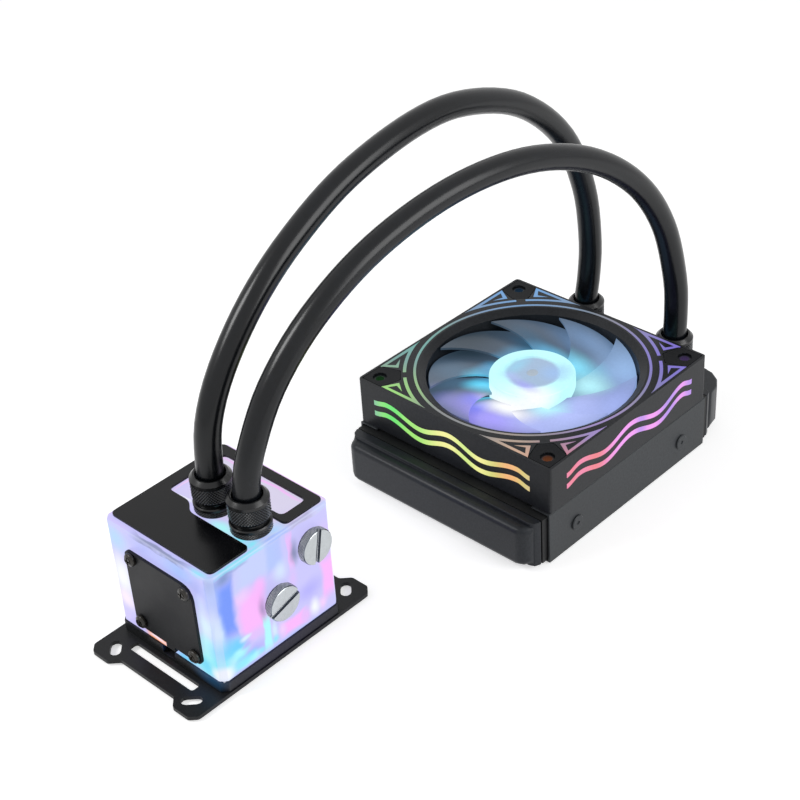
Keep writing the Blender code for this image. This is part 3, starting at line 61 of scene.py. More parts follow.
def looking_at(place, aim):
    """The matrix of a camera or lamp at one place that points at another."""
    turned = (Vector(aim) - Vector(place)).to_track_quat("-Z", "Y").to_matrix().to_4x4()
    return Matrix.Translation(place) @ turned


camera_data = bpy.data.cameras.new("camera")
camera_data.lens = CAMERA_LENS
camera_data.sensor_width = 36
camera_data.sensor_fit = "HORIZONTAL"
camera_data.clip_start, camera_data.clip_end = 0.01, 10
camera = new_object("camera", camera_data)
camera.matrix_world = (looking_at(CAMERA_PLACE, CAMERA_AIM)
                       @ Matrix.Rotation(radians(CAMERA_ROLL), 4, "Z"))
bpy.context.scene.camera = camera

# Hose fittings
# Turned brass plated black: a base screwed into the port, and a collar that clamps the hose.
# The collar has a chamfered shoulder and a diamond knurl, and the base ring a finer one.
MM = 0.001


def tint(red, green, blue):
    """A colour as it shows on screen, 0 to 255, as the shader's own linear values."""
    parts = [c / 255 for c in (red, green, blue)]
    return (*[c / 12.92 if c < 0.04045 else ((c + 0.055) / 1.055) ** 2.4 for c in parts], 1.0)


def add_node(tree, kind, inputs=None, **settings):
    """Add a shader node, set its choices, and fill or link its sockets."""
    made = tree.nodes.new("ShaderNode" + kind)
    for name, value in settings.items():
        setattr(made, name, value)
    for name, value in (inputs or {}).items():
        if isinstance(value, bpy.types.NodeSocket):
            tree.links.new(value, made.inputs[name])
        else:
            made.inputs[name].default_value = value
    return made


def calc(tree, operation, *values, **settings):
    """The result of a Math node."""
    made = add_node(tree, "Math", dict(enumerate(values)), operation=operation, **settings)
    return made.outputs[0]


def calc_vector(tree, operation, *values):
    """The result of a Vector Math node; SCALE takes a vector and a number."""
    sockets = dict(zip((0, "Scale") if operation == "SCALE" else (0, 1), values))
    made = add_node(tree, "VectorMath", sockets, operation=operation)
    return made.outputs["Value" if operation == "LENGTH" else "Vector"]


def spread(tree, value, from_min, from_max, to_min=0.0, to_max=1.0, **settings):
    """A value carried over from one range to another, and held inside it."""
    names = ("Value", "From Min", "From Max", "To Min", "To Max")
    sockets = dict(zip(names, (value, from_min, from_max, to_min, to_max)))
    return add_node(tree, "MapRange", sockets, **settings).outputs[0]


def mix_colours(tree, share, first, second):
    """The first colour with a share of the second."""
    sockets = {"Factor": share, 6: first, 7: second}
    return add_node(tree, "Mix", sockets, data_type="RGBA").outputs[2]


def new_surface(name, **sockets):
    """A material, its node tree, its Principled shader and the piece's own coordinates."""
    material = bpy.data.materials.new(name)
    material.use_nodes = True
    tree = material.node_tree
    shader = tree.nodes["Principled BSDF"]
    for socket, value in sockets.items():
        shader.inputs[socket.replace("_", " ")].default_value = value
    return material, tree, shader, add_node(tree, "TexCoord").outputs["Object"]


def new_group(name, inputs, outputs):
    """A shader node group with its sockets; returns it with its input and output nodes."""
    group = bpy.data.node_groups.new(name, "ShaderNodeTree")
    for side, sockets in (("INPUT", inputs), ("OUTPUT", outputs)):
        for socket, kind in sockets.items():
            group.interface.new_socket(socket, in_out=side, socket_type="NodeSocket" + kind)
    return group, group.nodes.new("NodeGroupInput"), group.nodes.new("NodeGroupOutput")


def fine_grain_group():
    """Two sizes of soft noise: an even speckle, and slow patches of handling and dust."""
    group, given, result = new_group("fine_grain", {
        "Vector": "Vector", "Grain Scale": "Float", "Patch Scale": "Float", "Dark": "Color",
        "Light": "Color", "Smooth": "Float", "Rough": "Float",
    }, {"Color": "Color", "Roughness": "Float", "Height": "Float"})
    place, grain_scale, patch_scale, dark, light, smooth, rough = list(given.outputs)[:7]
    grain = add_node(group, "TexNoise", {
        "Vector": place, "Scale": grain_scale, "Detail": 2.0}).outputs["Fac"]
    patch = add_node(group, "TexNoise", {
        "Vector": place, "Scale": patch_scale, "Detail": 4.0, "Roughness": 0.6}).outputs["Fac"]
    share = spread(group, calc(group, "MULTIPLY", grain, patch), 0.12, 0.4)
    group.links.new(mix_colours(group, share, dark, light), result.inputs["Color"])
    group.links.new(spread(group, patch, 0.3, 0.7, smooth, rough), result.inputs["Roughness"])
    group.links.new(grain, result.inputs["Height"])
    return group


fine_grain = fine_grain_group()


def grained(name, dark, light, smooth, rough, grain=900.0, patch=25.0, relief=0.05, metal=0.0,
            specular=0.5):
    """A surface with the fine grain's colours, roughness and relief."""
    material, tree, shader, place = new_surface(name, Metallic=metal, Specular_IOR_Level=specular)
    fine = add_node(tree, "Group", {
        "Vector": place, "Grain Scale": grain, "Patch Scale": patch, "Dark": tint(*dark),
        "Light": tint(*light), "Smooth": smooth, "Rough": rough}, node_tree=fine_grain)
    bump = add_node(tree, "Bump", {
        "Height": fine.outputs["Height"], "Strength": relief, "Distance": 0.0002})
    tree.links.new(fine.outputs["Color"], shader.inputs["Base Color"])
    tree.links.new(fine.outputs["Roughness"], shader.inputs["Roughness"])
    tree.links.new(bump.outputs[0], shader.inputs["Normal"])
    return material


def turned_solid(rows, columns, ring=True):
    """A profile spun about Z, from rows of (radius, height) in millimetres.

    A row may end with a cut: every other point of it stands out by that much, so such rows
    in turn make a diamond knurl.
    A ring's last row joins its first; any other profile starts and ends on the axis."""
    mesh = bmesh.new()
    profile = [mesh.verts.new((radius * MM, 0.0, height * MM)) for radius, height, *_ in rows]
    edges = [mesh.edges.new(pair) for pair in zip(profile, profile[1:])]
    if ring:
        edges.append(mesh.edges.new((profile[-1], profile[0])))
    bmesh.ops.spin(mesh, geom=profile + edges, cent=(0, 0, 0), axis=(0, 0, 1), dvec=(0, 0, 0),
                   angle=2 * pi, steps=columns, use_merge=True)
    bmesh.ops.remove_doubles(mesh, verts=mesh.verts, dist=1e-7)
    bmesh.ops.recalc_face_normals(mesh, faces=mesh.faces)
    cuts = {round(height, 3): (index, *cut) for index, (_, height, *cut) in enumerate(rows) if cut}
    # The points that stand out are marked, to be painted with a glint.
    knurl_glint = mesh.verts.layers.float.new("knurl_glint")
    for vert in mesh.verts:
        index, cut = cuts.get(round(vert.co.z / MM, 3), (0, 0))
        column = round(atan2(vert.co.y, vert.co.x) / (2 * pi / columns)) % columns
        if cut and (index + column) % 2:
            reach = 1 + cut * MM / hypot(vert.co.x, vert.co.y)
            vert.co.x, vert.co.y = vert.co.x * reach, vert.co.y * reach
            vert[knurl_glint] = 1.0
    if cuts:
        low, high = min(cuts) - 0.01, max(cuts) + 0.01
        band = [f for f in mesh.faces if low < f.calc_center_median().z / MM < high]
        bmesh.ops.triangulate(mesh, faces=band, quad_method="SHORT_EDGE")
    return mesh


def knurl_rows(radius, start, end, count, cut):
    """Rows of a knurled band, evenly spaced from one height to another."""
    return [(radius, start + (end - start) * n / (count - 1), cut) for n in range(count)]


def move(mesh, x, y, z):
    """Shift a mesh by millimetres."""
    bmesh.ops.translate(mesh, verts=mesh.verts, vec=(x * MM, y * MM, z * MM))
    return mesh


def add_piece(name, mesh, body, material, stands_for=(), crease=38):
    """Make the finished piece, let it ride on its body and hide the CAD parts it stands for."""
    data = bpy.data.meshes.new(name)
    mesh.to_mesh(data)
    mesh.free()
    data.shade_smooth()
    data.set_sharp_from_angle(angle=radians(crease))
    data.materials.append(material)
    obj = new_object(name, data)
    obj.modifiers.new("even_normals", "WEIGHTED_NORMAL").keep_sharp = True
    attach(obj, body)
    if stands_for:
        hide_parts(*stands_for)


FITTING_PLACES = {
    "block_rear": (-1.2, 0.5, 65.2), "block_side": (22.0, 0.5, 65.2),
    "tank_rear": (-3.2, 260.1, 26.8), "tank_side": (53.2, 260.1, 26.8),
}
KNURL_COLUMNS = 84
BASE_ROWS = [
    (4.0, 5.9), (7.8, 5.9), (7.8, 4.8), (8.9, 4.7), (9.35, 4.2), (9.35, 3.1), (9.1, 2.9),
    *knurl_rows(8.95, 2.7, 0.5, 5, 0.42), (9.1, 0.4), (8.9, 0.0), (6.2, 0.0), (6.2, -6.0),
    (4.0, -6.0),
]
COLLAR_ROWS = [
    (6.15, 0.0), (6.15, 10.9), (6.9, 12.0), (7.3, 12.15), (7.8, 12.1), (9.25, 10.6), (9.4, 10.3),
    (9.4, 8.9), (9.2, 8.7), *knurl_rows(8.95, 8.5, 1.6, 10, 0.45), (9.0, 1.3), (8.1, 0.0),
]


def tint_over(material, shade, amount):
    """Lay a tint over a surface's own colour, where an amount from its tree says so."""
    tree = material.node_tree
    base = tree.nodes["Principled BSDF"].inputs["Base Color"]
    tree.links.new(mix_colours(tree, amount, base.links[0].from_socket, tint(*shade)), base)


def glint_points(material, shade, strength):
    """Paint the knurl's points a lighter colour, as a painted glint."""
    glint_share = add_node(material.node_tree, "Attribute", attribute_name="knurl_glint").outputs["Fac"]
    tint_over(material, shade, spread(material.node_tree, glint_share, 0.35, 1.0, 0.0, strength))


fitting_finish = grained("fitting_finish", (4, 5, 7), (14, 15, 18), 0.2, 0.32, specular=0.4)
# Painted glint: the knurl's points on the fittings are laid a lighter grey.
glint_points(fitting_finish, (86, 92, 100), 0.9)
for where, (x, y, seat) in FITTING_PLACES.items():
    for part, rows, lift in (("base", BASE_ROWS, 0.3), ("collar", COLLAR_ROWS, 6.5)):
        add_piece("knurled_%s_%s" % (part, where),
                  move(turned_solid(rows, KNURL_COLUMNS), x, y, seat + lift), "cooler",
                  fitting_finish, ["fitting_%s_%s" % (part, where)], crease=24)

# Hoses
# Two smooth black rubber hoses, 12 mm outside, that arch from the block's top to the rear tank.
# Each end is pushed over a barbed stem inside its fitting and clamped by the collar.
HOSE_DIAMETER = 0.012
HOSE_STEP = 0.007
HOSE_ROUTES = {
    "rear": [
        (-1.2, 0.5, 71.7), (-1.2, 0.5, 85.9), (-1.2, 3.4, 107.8), (-1.4, 14.5, 129.2),
        (-1.6, 35, 151.8), (-1.8, 61, 170), (-2.1, 95, 184.8), (-2.5, 137.8, 192.3),
        (-2.8, 172, 189.4), (-3.1, 210, 174), (-3.3, 241, 146), (-3.2, 257.8, 111),
        (-3.1, 263, 78), (-3.2, 261.8, 56), (-3.2, 260.1, 47.5), (-3.2, 260.1, 33.3),
    ],
    "side": [
        (22, 0.5, 71.7), (22, 0.5, 85.9), (22.6, 4.6, 102.5), (24.1, 18.6, 128.3),
        (27, 42.5, 151.8), (31, 76.2, 170.2), (36, 118, 180), (41.1, 160.7, 178.4),
        (45.6, 199, 164.8), (49.3, 229.7, 141.3), (51.8, 249.2, 112), (53, 259, 77.8),
        (53.2, 260.5, 56), (53.2, 260.1, 47.5), (53.2, 260.1, 33.3),
    ],
}


def hose_line(route):
    """Straight ends, and between them a smooth curve through the route's points."""
    path = [Vector(point) for point in route]
    line = [path[0]]
    for before, start, end, after in zip(path, path[1:], path[2:], path[3:]):
        steps = ceil((end - start).length / HOSE_STEP)
        for step in range(steps):
            t = step / steps
            line.append(0.5 * (2 * start + (end - before) * t
                               + (2 * before - 5 * start + 4 * end - after) * t ** 2
                               + (3 * start - before - 3 * end + after) * t ** 3))
    return line + path[-2:]


hose_rubber = grained("hose_rubber", (6, 8, 11), (14, 17, 22), 0.2, 0.3, grain=500.0,
                      patch=12.0, relief=0.02, specular=0.32)
for side, places in HOSE_ROUTES.items():
    route = [tuple(round(value * MM, 5) for value in place) for place in places]
    curve = bpy.data.curves.new("hose_tube_" + side, "CURVE")
    curve.dimensions = "3D"
    curve.bevel_depth = HOSE_DIAMETER / 2
    curve.bevel_resolution = 8
    curve.use_fill_caps = True
    line = hose_line(route)
    spline = curve.splines.new("POLY")
    spline.points.add(len(line) - 1)
    spline.use_smooth = True
    for point, place in zip(spline.points, line):
        point.co = (*place, 1.0)
    curve.materials.append(hose_rubber)
    hose = new_object("hose_tube_" + side, curve)
    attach(hose, "cooler")
    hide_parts("hose_" + side)

# Mounting bracket
# A flat plate of 2 mm steel with four slotted ears and two long slots, powder coated satin black.
# Four countersunk screws from below hold it to the block.
def sharp_edges(mesh, angle):
    """The edges that turn by more than an angle in degrees."""
    return [e for e in mesh.edges if e.is_manifold and e.calc_face_angle(0) > radians(angle)]


def round_edges(mesh, edges, size, segments=2, clamp=True):
    """Round edges over by a size in metres."""
    bmesh.ops.bevel(mesh, geom=edges, offset=size, offset_type="OFFSET", segments=segments,
                    profile=0.5, affect="EDGES", clamp_overlap=clamp, material=-1)


def welded_copy(node):
    """A CAD solid's own shape, with its points welded and its flat faces joined."""
    mesh = bmesh.new()
    mesh.from_mesh(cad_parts[node].data)
    bmesh.ops.remove_doubles(mesh, verts=mesh.verts, dist=2e-6)
    bmesh.ops.dissolve_limit(mesh, angle_limit=radians(1), verts=mesh.verts, edges=mesh.edges)
    return mesh


def rounded_piece(name, node, edge, material):
    """A CAD solid of the main body as a finished piece, its sharp edges rounded in millimetres."""
    mesh = welded_copy(node)
    round_edges(mesh, sharp_edges(mesh, 30), edge * MM)
    add_piece(name, mesh, "cooler", material, [node])


def repaint(material, *nodes):
    """Give CAD nodes that keep their shape a finished surface."""
    for name in nodes:
        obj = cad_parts[name]
        obj.data.materials.clear()
        obj.data.materials.append(material)


bracket_paint = grained("bracket_paint", (15, 16, 18), (28, 29, 31), 0.36, 0.5,
                        grain=1500.0, relief=0.12, specular=0.24)
screw_oxide = grained("screw_oxide", (24, 22, 20), (52, 48, 42), 0.2, 0.36, grain=600.0, metal=0.3)
rounded_piece("bracket_plate", "mounting_bracket", 0.25, bracket_paint)
repaint(screw_oxide, *["base_screw_%d" % n for n in range(1, 5)])

# Cold plate
# A machined copper plate whose underside presses on the processor.
# Its finned boss reaches into the block's chamber and a rubber ring seals it.
repaint(grained("copper_finish", (168, 96, 62), (214, 138, 100), 0.18, 0.34, grain=1200.0,
                metal=1.0), "cold_plate")
repaint(grained("seal_finish", (18, 18, 18), (30, 30, 30), 0.6, 0.8), "cold_plate_seal",
        "pump_seal", "plug_seal_upper", "plug_seal_lower")

# Base skirt and light board
# A moulded black frame that carries the light board round the block's foot.
# The lights shine up into the clear block, and the cable leaves through a notch in front.
def largest_part(tree, vector):
    """The largest of a vector's three parts, whatever their signs."""
    x, y, z = add_node(tree, "SeparateXYZ", {0: calc_vector(tree, "ABSOLUTE", vector)}).outputs
    return calc(tree, "MAXIMUM", calc(tree, "MAXIMUM", x, y), z)


def glow_spot_group():
    """How strongly a patch of light shows at a place: soft and round, or firmer and square."""
    group, given, result = new_group("glow_spot", {
        "Vector": "Vector", "Centre": "Vector", "Reach": "Vector", "Strength": "Float",
        "Square": "Float", "Firm": "Float",
    }, {"Mask": "Float"})
    place, centre, reach, strength, square, firm = list(given.outputs)[:6]
    scaled = calc_vector(group, "DIVIDE", calc_vector(group, "SUBTRACT", place, centre), reach)
    away = add_node(group, "Mix", {"Factor": square, 2: calc_vector(group, "LENGTH", scaled),
                                   3: largest_part(group, scaled)}).outputs[0]
    near, edge = spread(group, firm, 0, 1, 0, 0.9), spread(group, firm, 0, 1, 1.4, 1.04)
    fade = spread(group, away, near, edge, 1.0, 0.0, interpolation_type="SMOOTHSTEP")
    group.links.new(calc(group, "MULTIPLY", fade, strength, use_clamp=True), result.inputs["Mask"])
    return group


glow_spot = glow_spot_group()
SQUARE_FIRMNESS = 0.55


def lay_patch(tree, place, colour, middle, reach, shade, strength=1, square=0, firm=None):
    """Lay one patch of coloured light over a colour; its middle and reach are in millimetres."""
    mask = add_node(tree, "Group", {
        "Vector": place, "Centre": [m * MM for m in middle], "Reach": [r * MM for r in reach],
        "Strength": strength, "Square": square,
        "Firm": SQUARE_FIRMNESS * square if firm is None else firm}, node_tree=glow_spot)
    return mix_colours(tree, mask.outputs[0], colour, tint(*shade))


def add_glow(tree, place, shade, patches):
    """Lay patches of light over a plain colour, one after another."""
    base = add_node(tree, "RGB")
    base.outputs[0].default_value = tint(*shade)
    colour = base.outputs[0]
    for patch in patches:
        colour = lay_patch(tree, place, colour, *patch)
    return colour


def spill_light(material, patches):
    """Light that spills on to a black piece from the lit block or fan."""
    tree = material.node_tree
    shader = tree.nodes["Principled BSDF"]
    place = add_node(tree, "TexCoord").outputs["Object"]
    shader.inputs["Emission Strength"].default_value = 1.0
    tree.links.new(add_glow(tree, place, (0, 0, 0), patches), shader.inputs["Emission Color"])


skirt_finish = grained("skirt_finish", (14, 15, 17), (28, 29, 31), 0.3, 0.46, relief=0.08,
                       specular=0.25)
spill_light(skirt_finish, [
    ((37, 0, 7), (6, 40, 8), (34, 28, 66), 0.4), ((26, -37, 8), (12, 6, 5), (26, 92, 140), 0.45),
    ((-2, -37, 8), (5, 4, 4), (20, 60, 110), 0.5),
])
spill_light(bracket_paint, [
    ((41, 0, 2), (7, 44, 5), (32, 22, 54), 0.35), ((28, -42, 2), (12, 6, 5), (22, 30, 56), 0.3),
])
rounded_piece("skirt_frame", "base_skirt", 0.2, skirt_finish)
repaint(grained("board_finish", (200, 204, 205), (236, 238, 238), 0.35, 0.5), "light_board",
        "fan_light_board")

# Clear block
# One block of clear acrylic with frosted faces, machined for the coolant, the pump and the ports.
# Coloured lights under it fill the frosted faces with patches of pink, lilac, blue and cyan.
LIGHT_TINTS = {
    "white": (250, 253, 255), "pale": (216, 240, 254), "ice": (198, 210, 254),
    "sky": (178, 214, 255), "peri": (184, 190, 251), "azurite": (162, 190, 254),
    "blue": (108, 147, 252), "cyan": (104, 208, 254), "aqua": (134, 234, 252),
    "mint": (176, 252, 254), "violet": (182, 178, 254), "lilac": (208, 198, 254),
    "rose": (246, 208, 253), "orchid": (236, 190, 253), "pink": (254, 184, 254),
    "blush": (255, 238, 254), "pearl": (218, 211, 236), "dusk": (124, 148, 204),
    "shade": (128, 136, 172), "peach": (255, 170, 120),
}
# Each patch: middle and reach along the face in millimetres, then its tint. Strength follows
# where it isn't 1, then a 1 where it is square, then its firmness where that isn't the usual one.
FACE_PATCHES = {
    "right": [
        (-9, 58, 15, 9, "ice", 0.95, 1), (1, 57, 5, 9, "azurite", 0.55, 1),
        (-14.5, 35, 8.4, 13.5, "pink", 1, 1), (-19, 47, 5, 4.5, "rose", 0.7),
        (-9, 46, 4, 5, "pink", 0.8), (3, 46, 4.5, 6, "pale", 0.7),
        (9.9, 53, 1.7, 11, "orchid", 1, 1), (10, 38, 3, 5, "orchid", 0.5),
        (18, 26, 9, 6, "violet"), (29.6, 27, 4.2, 12, "pink", 1, 1), (30, 50, 5, 8, "orchid", 0.4),
        (7, 14.5, 7.5, 4, "pink", 1, 1), (0, 15.5, 2.6, 4.5, "rose", 0.9),
        (14.5, 14, 3.5, 4, "orchid"), (24.8, 14.5, 2.8, 3.6, "rose"),
        (20, 15.2, 3.2, 4.8, "white"), (-15, 15, 8, 4, "violet", 0.9),
        (-15, 21.5, 7, 2.5, "orchid", 0.5), (-8, 19, 2.1, 10, "mint", 1, 1),
        (-4.2, 18, 1.8, 6, "pale", 0.9), (-4.4, 12.5, 2, 2.6, "aqua", 0.9),
        (-28, 45, 5.2, 18, "blue", 1, 1), (-28, 61.6, 5.5, 3.4, "dusk"),
        (-22, 63.6, 8, 1.4, "dusk", 0.5, 1), (-26, 21, 7.5, 8, "cyan", 1, 0, 0.35),
        (-26, 18.6, 7, 3, "mint", 1, 0, 0.3), (-20, 24, 3.4, 1.6, "pale", 1, 0, 0.2),
        (-20, 20, 3, 1.4, "violet", 0.8), (-20, 12, 8, 3.2, "mint", 1, 0, 0.4),
        (-12, 12, 3, 2.2, "aqua", 0.8), (-31, 15.5, 4.6, 5, "white", 1, 0, 0.35),
        (-35, 56, 3.5, 9, "azurite", 0.8), (-35, 34, 3.5, 13, "pale", 0.9),
        (-35, 20, 4, 9, "mint", 0.9), (-34, 13, 5, 6, "white", 1, 0, 0.4),
        (-24, 12.5, 8, 3.6, "aqua", 0.8, 0, 0.2), (-30, 24, 4.5, 6, "cyan", 0.75),
        (-18, 14.5, 5, 2, "cyan", 0.6), (0, 8.7, 36, 0.8, "azurite", 0.5, 1),
        (12, 51, 2.6, 7, "shade", 0.85), (-9, 33, 2.2, 7, "shade", 0.6),
    ],
    "front": [
        (-6, 61, 17, 7, "peri"), (15, 61, 13, 7, "azurite"), (-27, 57, 8, 8, "sky"),
        (-33, 57, 2, 9, "pale", 0.7), (-27, 36, 8, 13, "white"), (-27, 23, 7, 6, "blush", 0.9),
        (-27, 12.5, 9, 4, "lilac", 0.8), (27, 57, 6, 6, "peri"), (27, 49, 6, 5, "ice"),
        (27.5, 37, 6, 10, "pale"), (27, 26, 7, 7, "mint", 0.7, 0, 0.3),
        (27, 16, 8, 8, "mint", 1, 0, 0.45), (23.5, 13, 4.4, 4.4, "aqua", 1, 0, 0.3),
        (31, 13, 4, 5, "white", 0.8, 0, 0.3), (31.4, 28, 0.9, 14, "azurite", 0.5, 1),
        (10, 9, 7, 3, "cyan"), (-9, 10, 8.5, 3.6, "peach", 1, 1), (-9, 10, 7.4, 1.2, "blush"),
        (24, 9.4, 6, 1.6, "aqua", 0.7), (33, 61, 2, 5, "dusk", 0.9),
        (19, 11.5, 8, 4, "aqua", 0.85, 0, 0.2), (25, 14, 5, 5, "cyan", 0.55),
        (29, 24, 5, 8, "mint", 0.6),
    ],
    "corner": [
        (0, 54, 4.5, 12, "azurite", 0.7), (0, 36, 4, 12, "pale", 0.8),
        (0, 24, 6.5, 8, "cyan", 0.75), (0, 16, 10, 7, "aqua"), (0, 12, 6, 5, "white", 1, 0, 0.3),
    ],
    "top": [
        (0, 16, 40, 22, "pearl", 1, 1), (-24, 2, 10, 6, "lilac", 0.7),
        (0, 26.6, 27, 0.8, "pink", 0.7, 1), (-24.8, 12, 0.7, 16, "rose", 0.8, 1),
        (-18, -4.2, 8, 0.6, "white", 0.6, 1), (26.4, 20, 0.7, 8, "rose", 0.7, 1),
        (13, -7.5, 9, 3.4, "mint"), (24, -8, 5, 3.4, "aqua"), (30, -7, 3, 5, "aqua"),
        (28, -1, 5, 4, "azurite", 0.8), (30, 6, 4, 6, "sky"), (33.6, -18, 1.3, 15, "aqua", 0.8, 1),
        (33.6, 4, 1.3, 8, "azurite", 0.8, 1), (33.6, 18, 1.3, 7, "shade", 0.4, 1),
        (33.6, 30, 1.3, 6, "ice", 0.8, 1), (0, 34.2, 36, 1.1, "rose", 0.9, 1),
        (-33.6, 0, 1.2, 36, "rose", 0.6, 1), (3, -34, 18, 1.2, "shade", 0.85, 1),
        (-26, -34, 8, 1.2, "lilac", 0.9, 1), (27, -34, 6, 2, "aqua", 0.8),
    ],
}
FACE_PLACES = {"right": 34.3, "front": -35.2, "corner": 34.0, "top": 65.2}
FACE_REACH = 4.0
BELOW_TOP = 64.9


def wavered(tree, place, scale, amount):
    """A place shifted a little by soft noise, so that patches don't end in straight lines."""
    noise = add_node(tree, "TexNoise", {"Vector": place, "Scale": scale, "Detail": 2.0})
    moved = calc_vector(tree, "SUBTRACT", noise.outputs["Color"], (0.5, 0.5, 0.5))
    return calc_vector(tree, "ADD", place, calc_vector(tree, "SCALE", moved, amount))


def face_patch(face, across, up, wide, high, shade, *rest):
    """A patch on one face of the block, as a middle and a reach in space."""
    depth = FACE_PLACES[face]
    middle, reach = {
        "right": ((depth, across, up), (FACE_REACH, wide, high)),
        "front": ((across, depth, up), (wide, FACE_REACH, high)),
        "top": ((across, up, depth), (wide, high, FACE_REACH / 2)),
        "corner": ((depth, -depth, up), (wide, wide, high)),
    }[face]
    return (middle, reach, LIGHT_TINTS[shade], *rest)


def lit_acrylic():
    """Frosted acrylic that glows in the colours of the lights below it.

    The left and back faces repeat the right and front ones, turned half round."""
    material, tree, shader, place = new_surface(
        "lit_acrylic", Base_Color=tint(44, 46, 56), Roughness=0.32, Specular_IOR_Level=0.3,
        Emission_Strength=0.93)
    x, y, z = add_node(tree, "SeparateXYZ", {0: place}).outputs
    side = calc(tree, "SIGN", calc(tree, "SUBTRACT", x, y))
    below_top = calc(tree, "LESS_THAN", z, BELOW_TOP * MM)
    flip = add_node(tree, "Mix", {"Factor": below_top, 2: 1.0, 3: side}).outputs[0]
    folded = add_node(tree, "CombineXYZ", {
        0: calc(tree, "MULTIPLY", x, flip), 1: calc(tree, "MULTIPLY", y, flip), 2: z}).outputs[0]
    colour = add_glow(tree, wavered(tree, folded, 90.0, 0.0035), (204, 200, 254), [
        face_patch(face, *patch) for face, patches in FACE_PATCHES.items() for patch in patches])
    # Painted highlight: where the shading normal turns off the faces, along the rounded edges, a
    # pale tint is laid over the glow.
    flat = largest_part(tree, add_node(tree, "TexCoord").outputs["Normal"])
    edge = spread(tree, flat, 0.99, 0.86, 0.0, 0.35)
    tree.links.new(mix_colours(tree, edge, colour, tint(216, 222, 255)),
                   shader.inputs["Emission Color"])
    frost = add_node(tree, "TexNoise", {"Vector": place, "Scale": 2500.0, "Detail": 1.0})
    tree.links.new(spread(tree, frost.outputs["Fac"], 0.3, 0.7, 0.26, 0.4),
                   shader.inputs["Roughness"])
    return material


rounded_piece("block_body", "reservoir_block", 0.3, lit_acrylic())

# Trim plate
# A thin black plate on the block's top with a fine matt speckle.
# It is solid over the pump and frames the clear window behind the fittings.
trim_finish = grained("trim_finish", (1, 2, 4), (11, 11, 14), 0.18, 0.27, grain=2600.0,
                      relief=0.06, specular=0.24)
rounded_piece("trim_face", "top_trim_plate", 0.2, trim_finish)

# Pump cover and screws
# A black painted plate over the pump's bore, with a small tab at its lower edge.
# Four black pan head screws with a cross recess hold it on its seal.
cover_finish = grained("cover_finish", (8, 9, 12), (18, 19, 23), 0.4, 0.55, relief=0.1,
                       specular=0.2)
rounded_piece("cover_face", "pump_cover", 0.3, cover_finish)
SCREW_HEAD_RADIUS = 3.2
SCREW_HEAD_HEIGHT = 2.1
SCREW_SHANK_RADIUS = 1.5
SCREW_SHANK_LENGTH = 9.0
CROSS_HALF_WIDTH = 0.42
CROSS_REACH = 1.75
CROSS_DEPTH = 1.0
CROSS_TAPER = 0.8
SCREW_CROWN = 1.3


def split_faces(mesh, faces, place, normal):
    """Cut some of a mesh's faces along a plane."""
    geom = set(faces)
    for face in faces:
        geom.update(face.edges, face.verts)
    bmesh.ops.bisect_plane(mesh, geom=list(geom), dist=1e-7, plane_co=place, plane_no=normal)


def new_points(made):
    """The points among what an extrusion made."""
    return [item for item in made["geom"] if isinstance(item, bmesh.types.BMVert)]


def turn(mesh, degrees, axis):
    """Turn a mesh about an axis through the origin."""
    bmesh.ops.rotate(mesh, verts=mesh.verts, cent=(0, 0, 0),
                     matrix=Matrix.Rotation(radians(degrees), 3, axis))
    return mesh


def cross_head_screw():
    """A pan head screw along Z with its head up: spun, then its cross is cut and pushed in."""
    height, top = SCREW_HEAD_HEIGHT, (SCREW_HEAD_HEIGHT - 0.001) * MM
    rounding = [(SCREW_HEAD_RADIUS * cos(a), height - SCREW_CROWN + SCREW_CROWN * sin(a))
                for a in (0.0, 0.35, 0.7, 1.0)]
    mesh = turned_solid([
        (0.0, -SCREW_SHANK_LENGTH), (SCREW_SHANK_RADIUS, -SCREW_SHANK_LENGTH),
        (SCREW_SHANK_RADIUS, 0.0), (SCREW_HEAD_RADIUS, 0.0), *rounding,
        (CROSS_REACH * 1.08, height), (0.0, height)], 32, ring=False)
    for axis in (0, 1):
        for reach in (-CROSS_REACH, -CROSS_HALF_WIDTH, CROSS_HALF_WIDTH, CROSS_REACH):
            place, normal = [0.0, 0.0, 0.0], [0.0, 0.0, 0.0]
            place[axis], normal[axis] = reach * MM, 1.0
            crown = [f for f in mesh.faces if f.calc_center_median().z > top]
            split_faces(mesh, crown, place, normal)
    recess = []
    for face in mesh.faces:
        x, y, z = face.calc_center_median()
        near, away = sorted((abs(x), abs(y)))
        if z > top and near < CROSS_HALF_WIDTH * MM and away < CROSS_REACH * MM:
            recess.append(face)
    floor = new_points(bmesh.ops.extrude_face_region(mesh, geom=recess))
    bmesh.ops.delete(mesh, geom=[f for f in recess if f.is_valid], context="FACES")
    for vert in floor:
        vert.co = (vert.co.x * CROSS_TAPER, vert.co.y * CROSS_TAPER, vert.co.z - CROSS_DEPTH * MM)
    bmesh.ops.recalc_face_normals(mesh, faces=mesh.faces)
    return mesh


for number in range(1, 5):
    node = "cover_screw_%d" % number
    low, high = [Vector(corner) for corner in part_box(node)]
    screw = turn(turn(cross_head_screw(), 25 + 17 * number, "Z"), 90, "X")
    bmesh.ops.translate(screw, verts=screw.verts, vec=(
        (low.x + high.x) / 2, low.y + SCREW_HEAD_HEIGHT * MM, (low.z + high.z) / 2))
    add_piece("cover_screw_head_%d" % number, screw, "cooler", screw_oxide, [node])

# Pump inside the block
# A sealed motor drives a small impeller behind the cover.
# Both are moulded plastic, hidden once the cover is on.
repaint(grained("motor_finish", (50, 50, 54), (66, 66, 70), 0.4, 0.5), "pump_motor")
repaint(grained("impeller_finish", (54, 54, 54), (72, 72, 72), 0.35, 0.5), "pump_impeller")

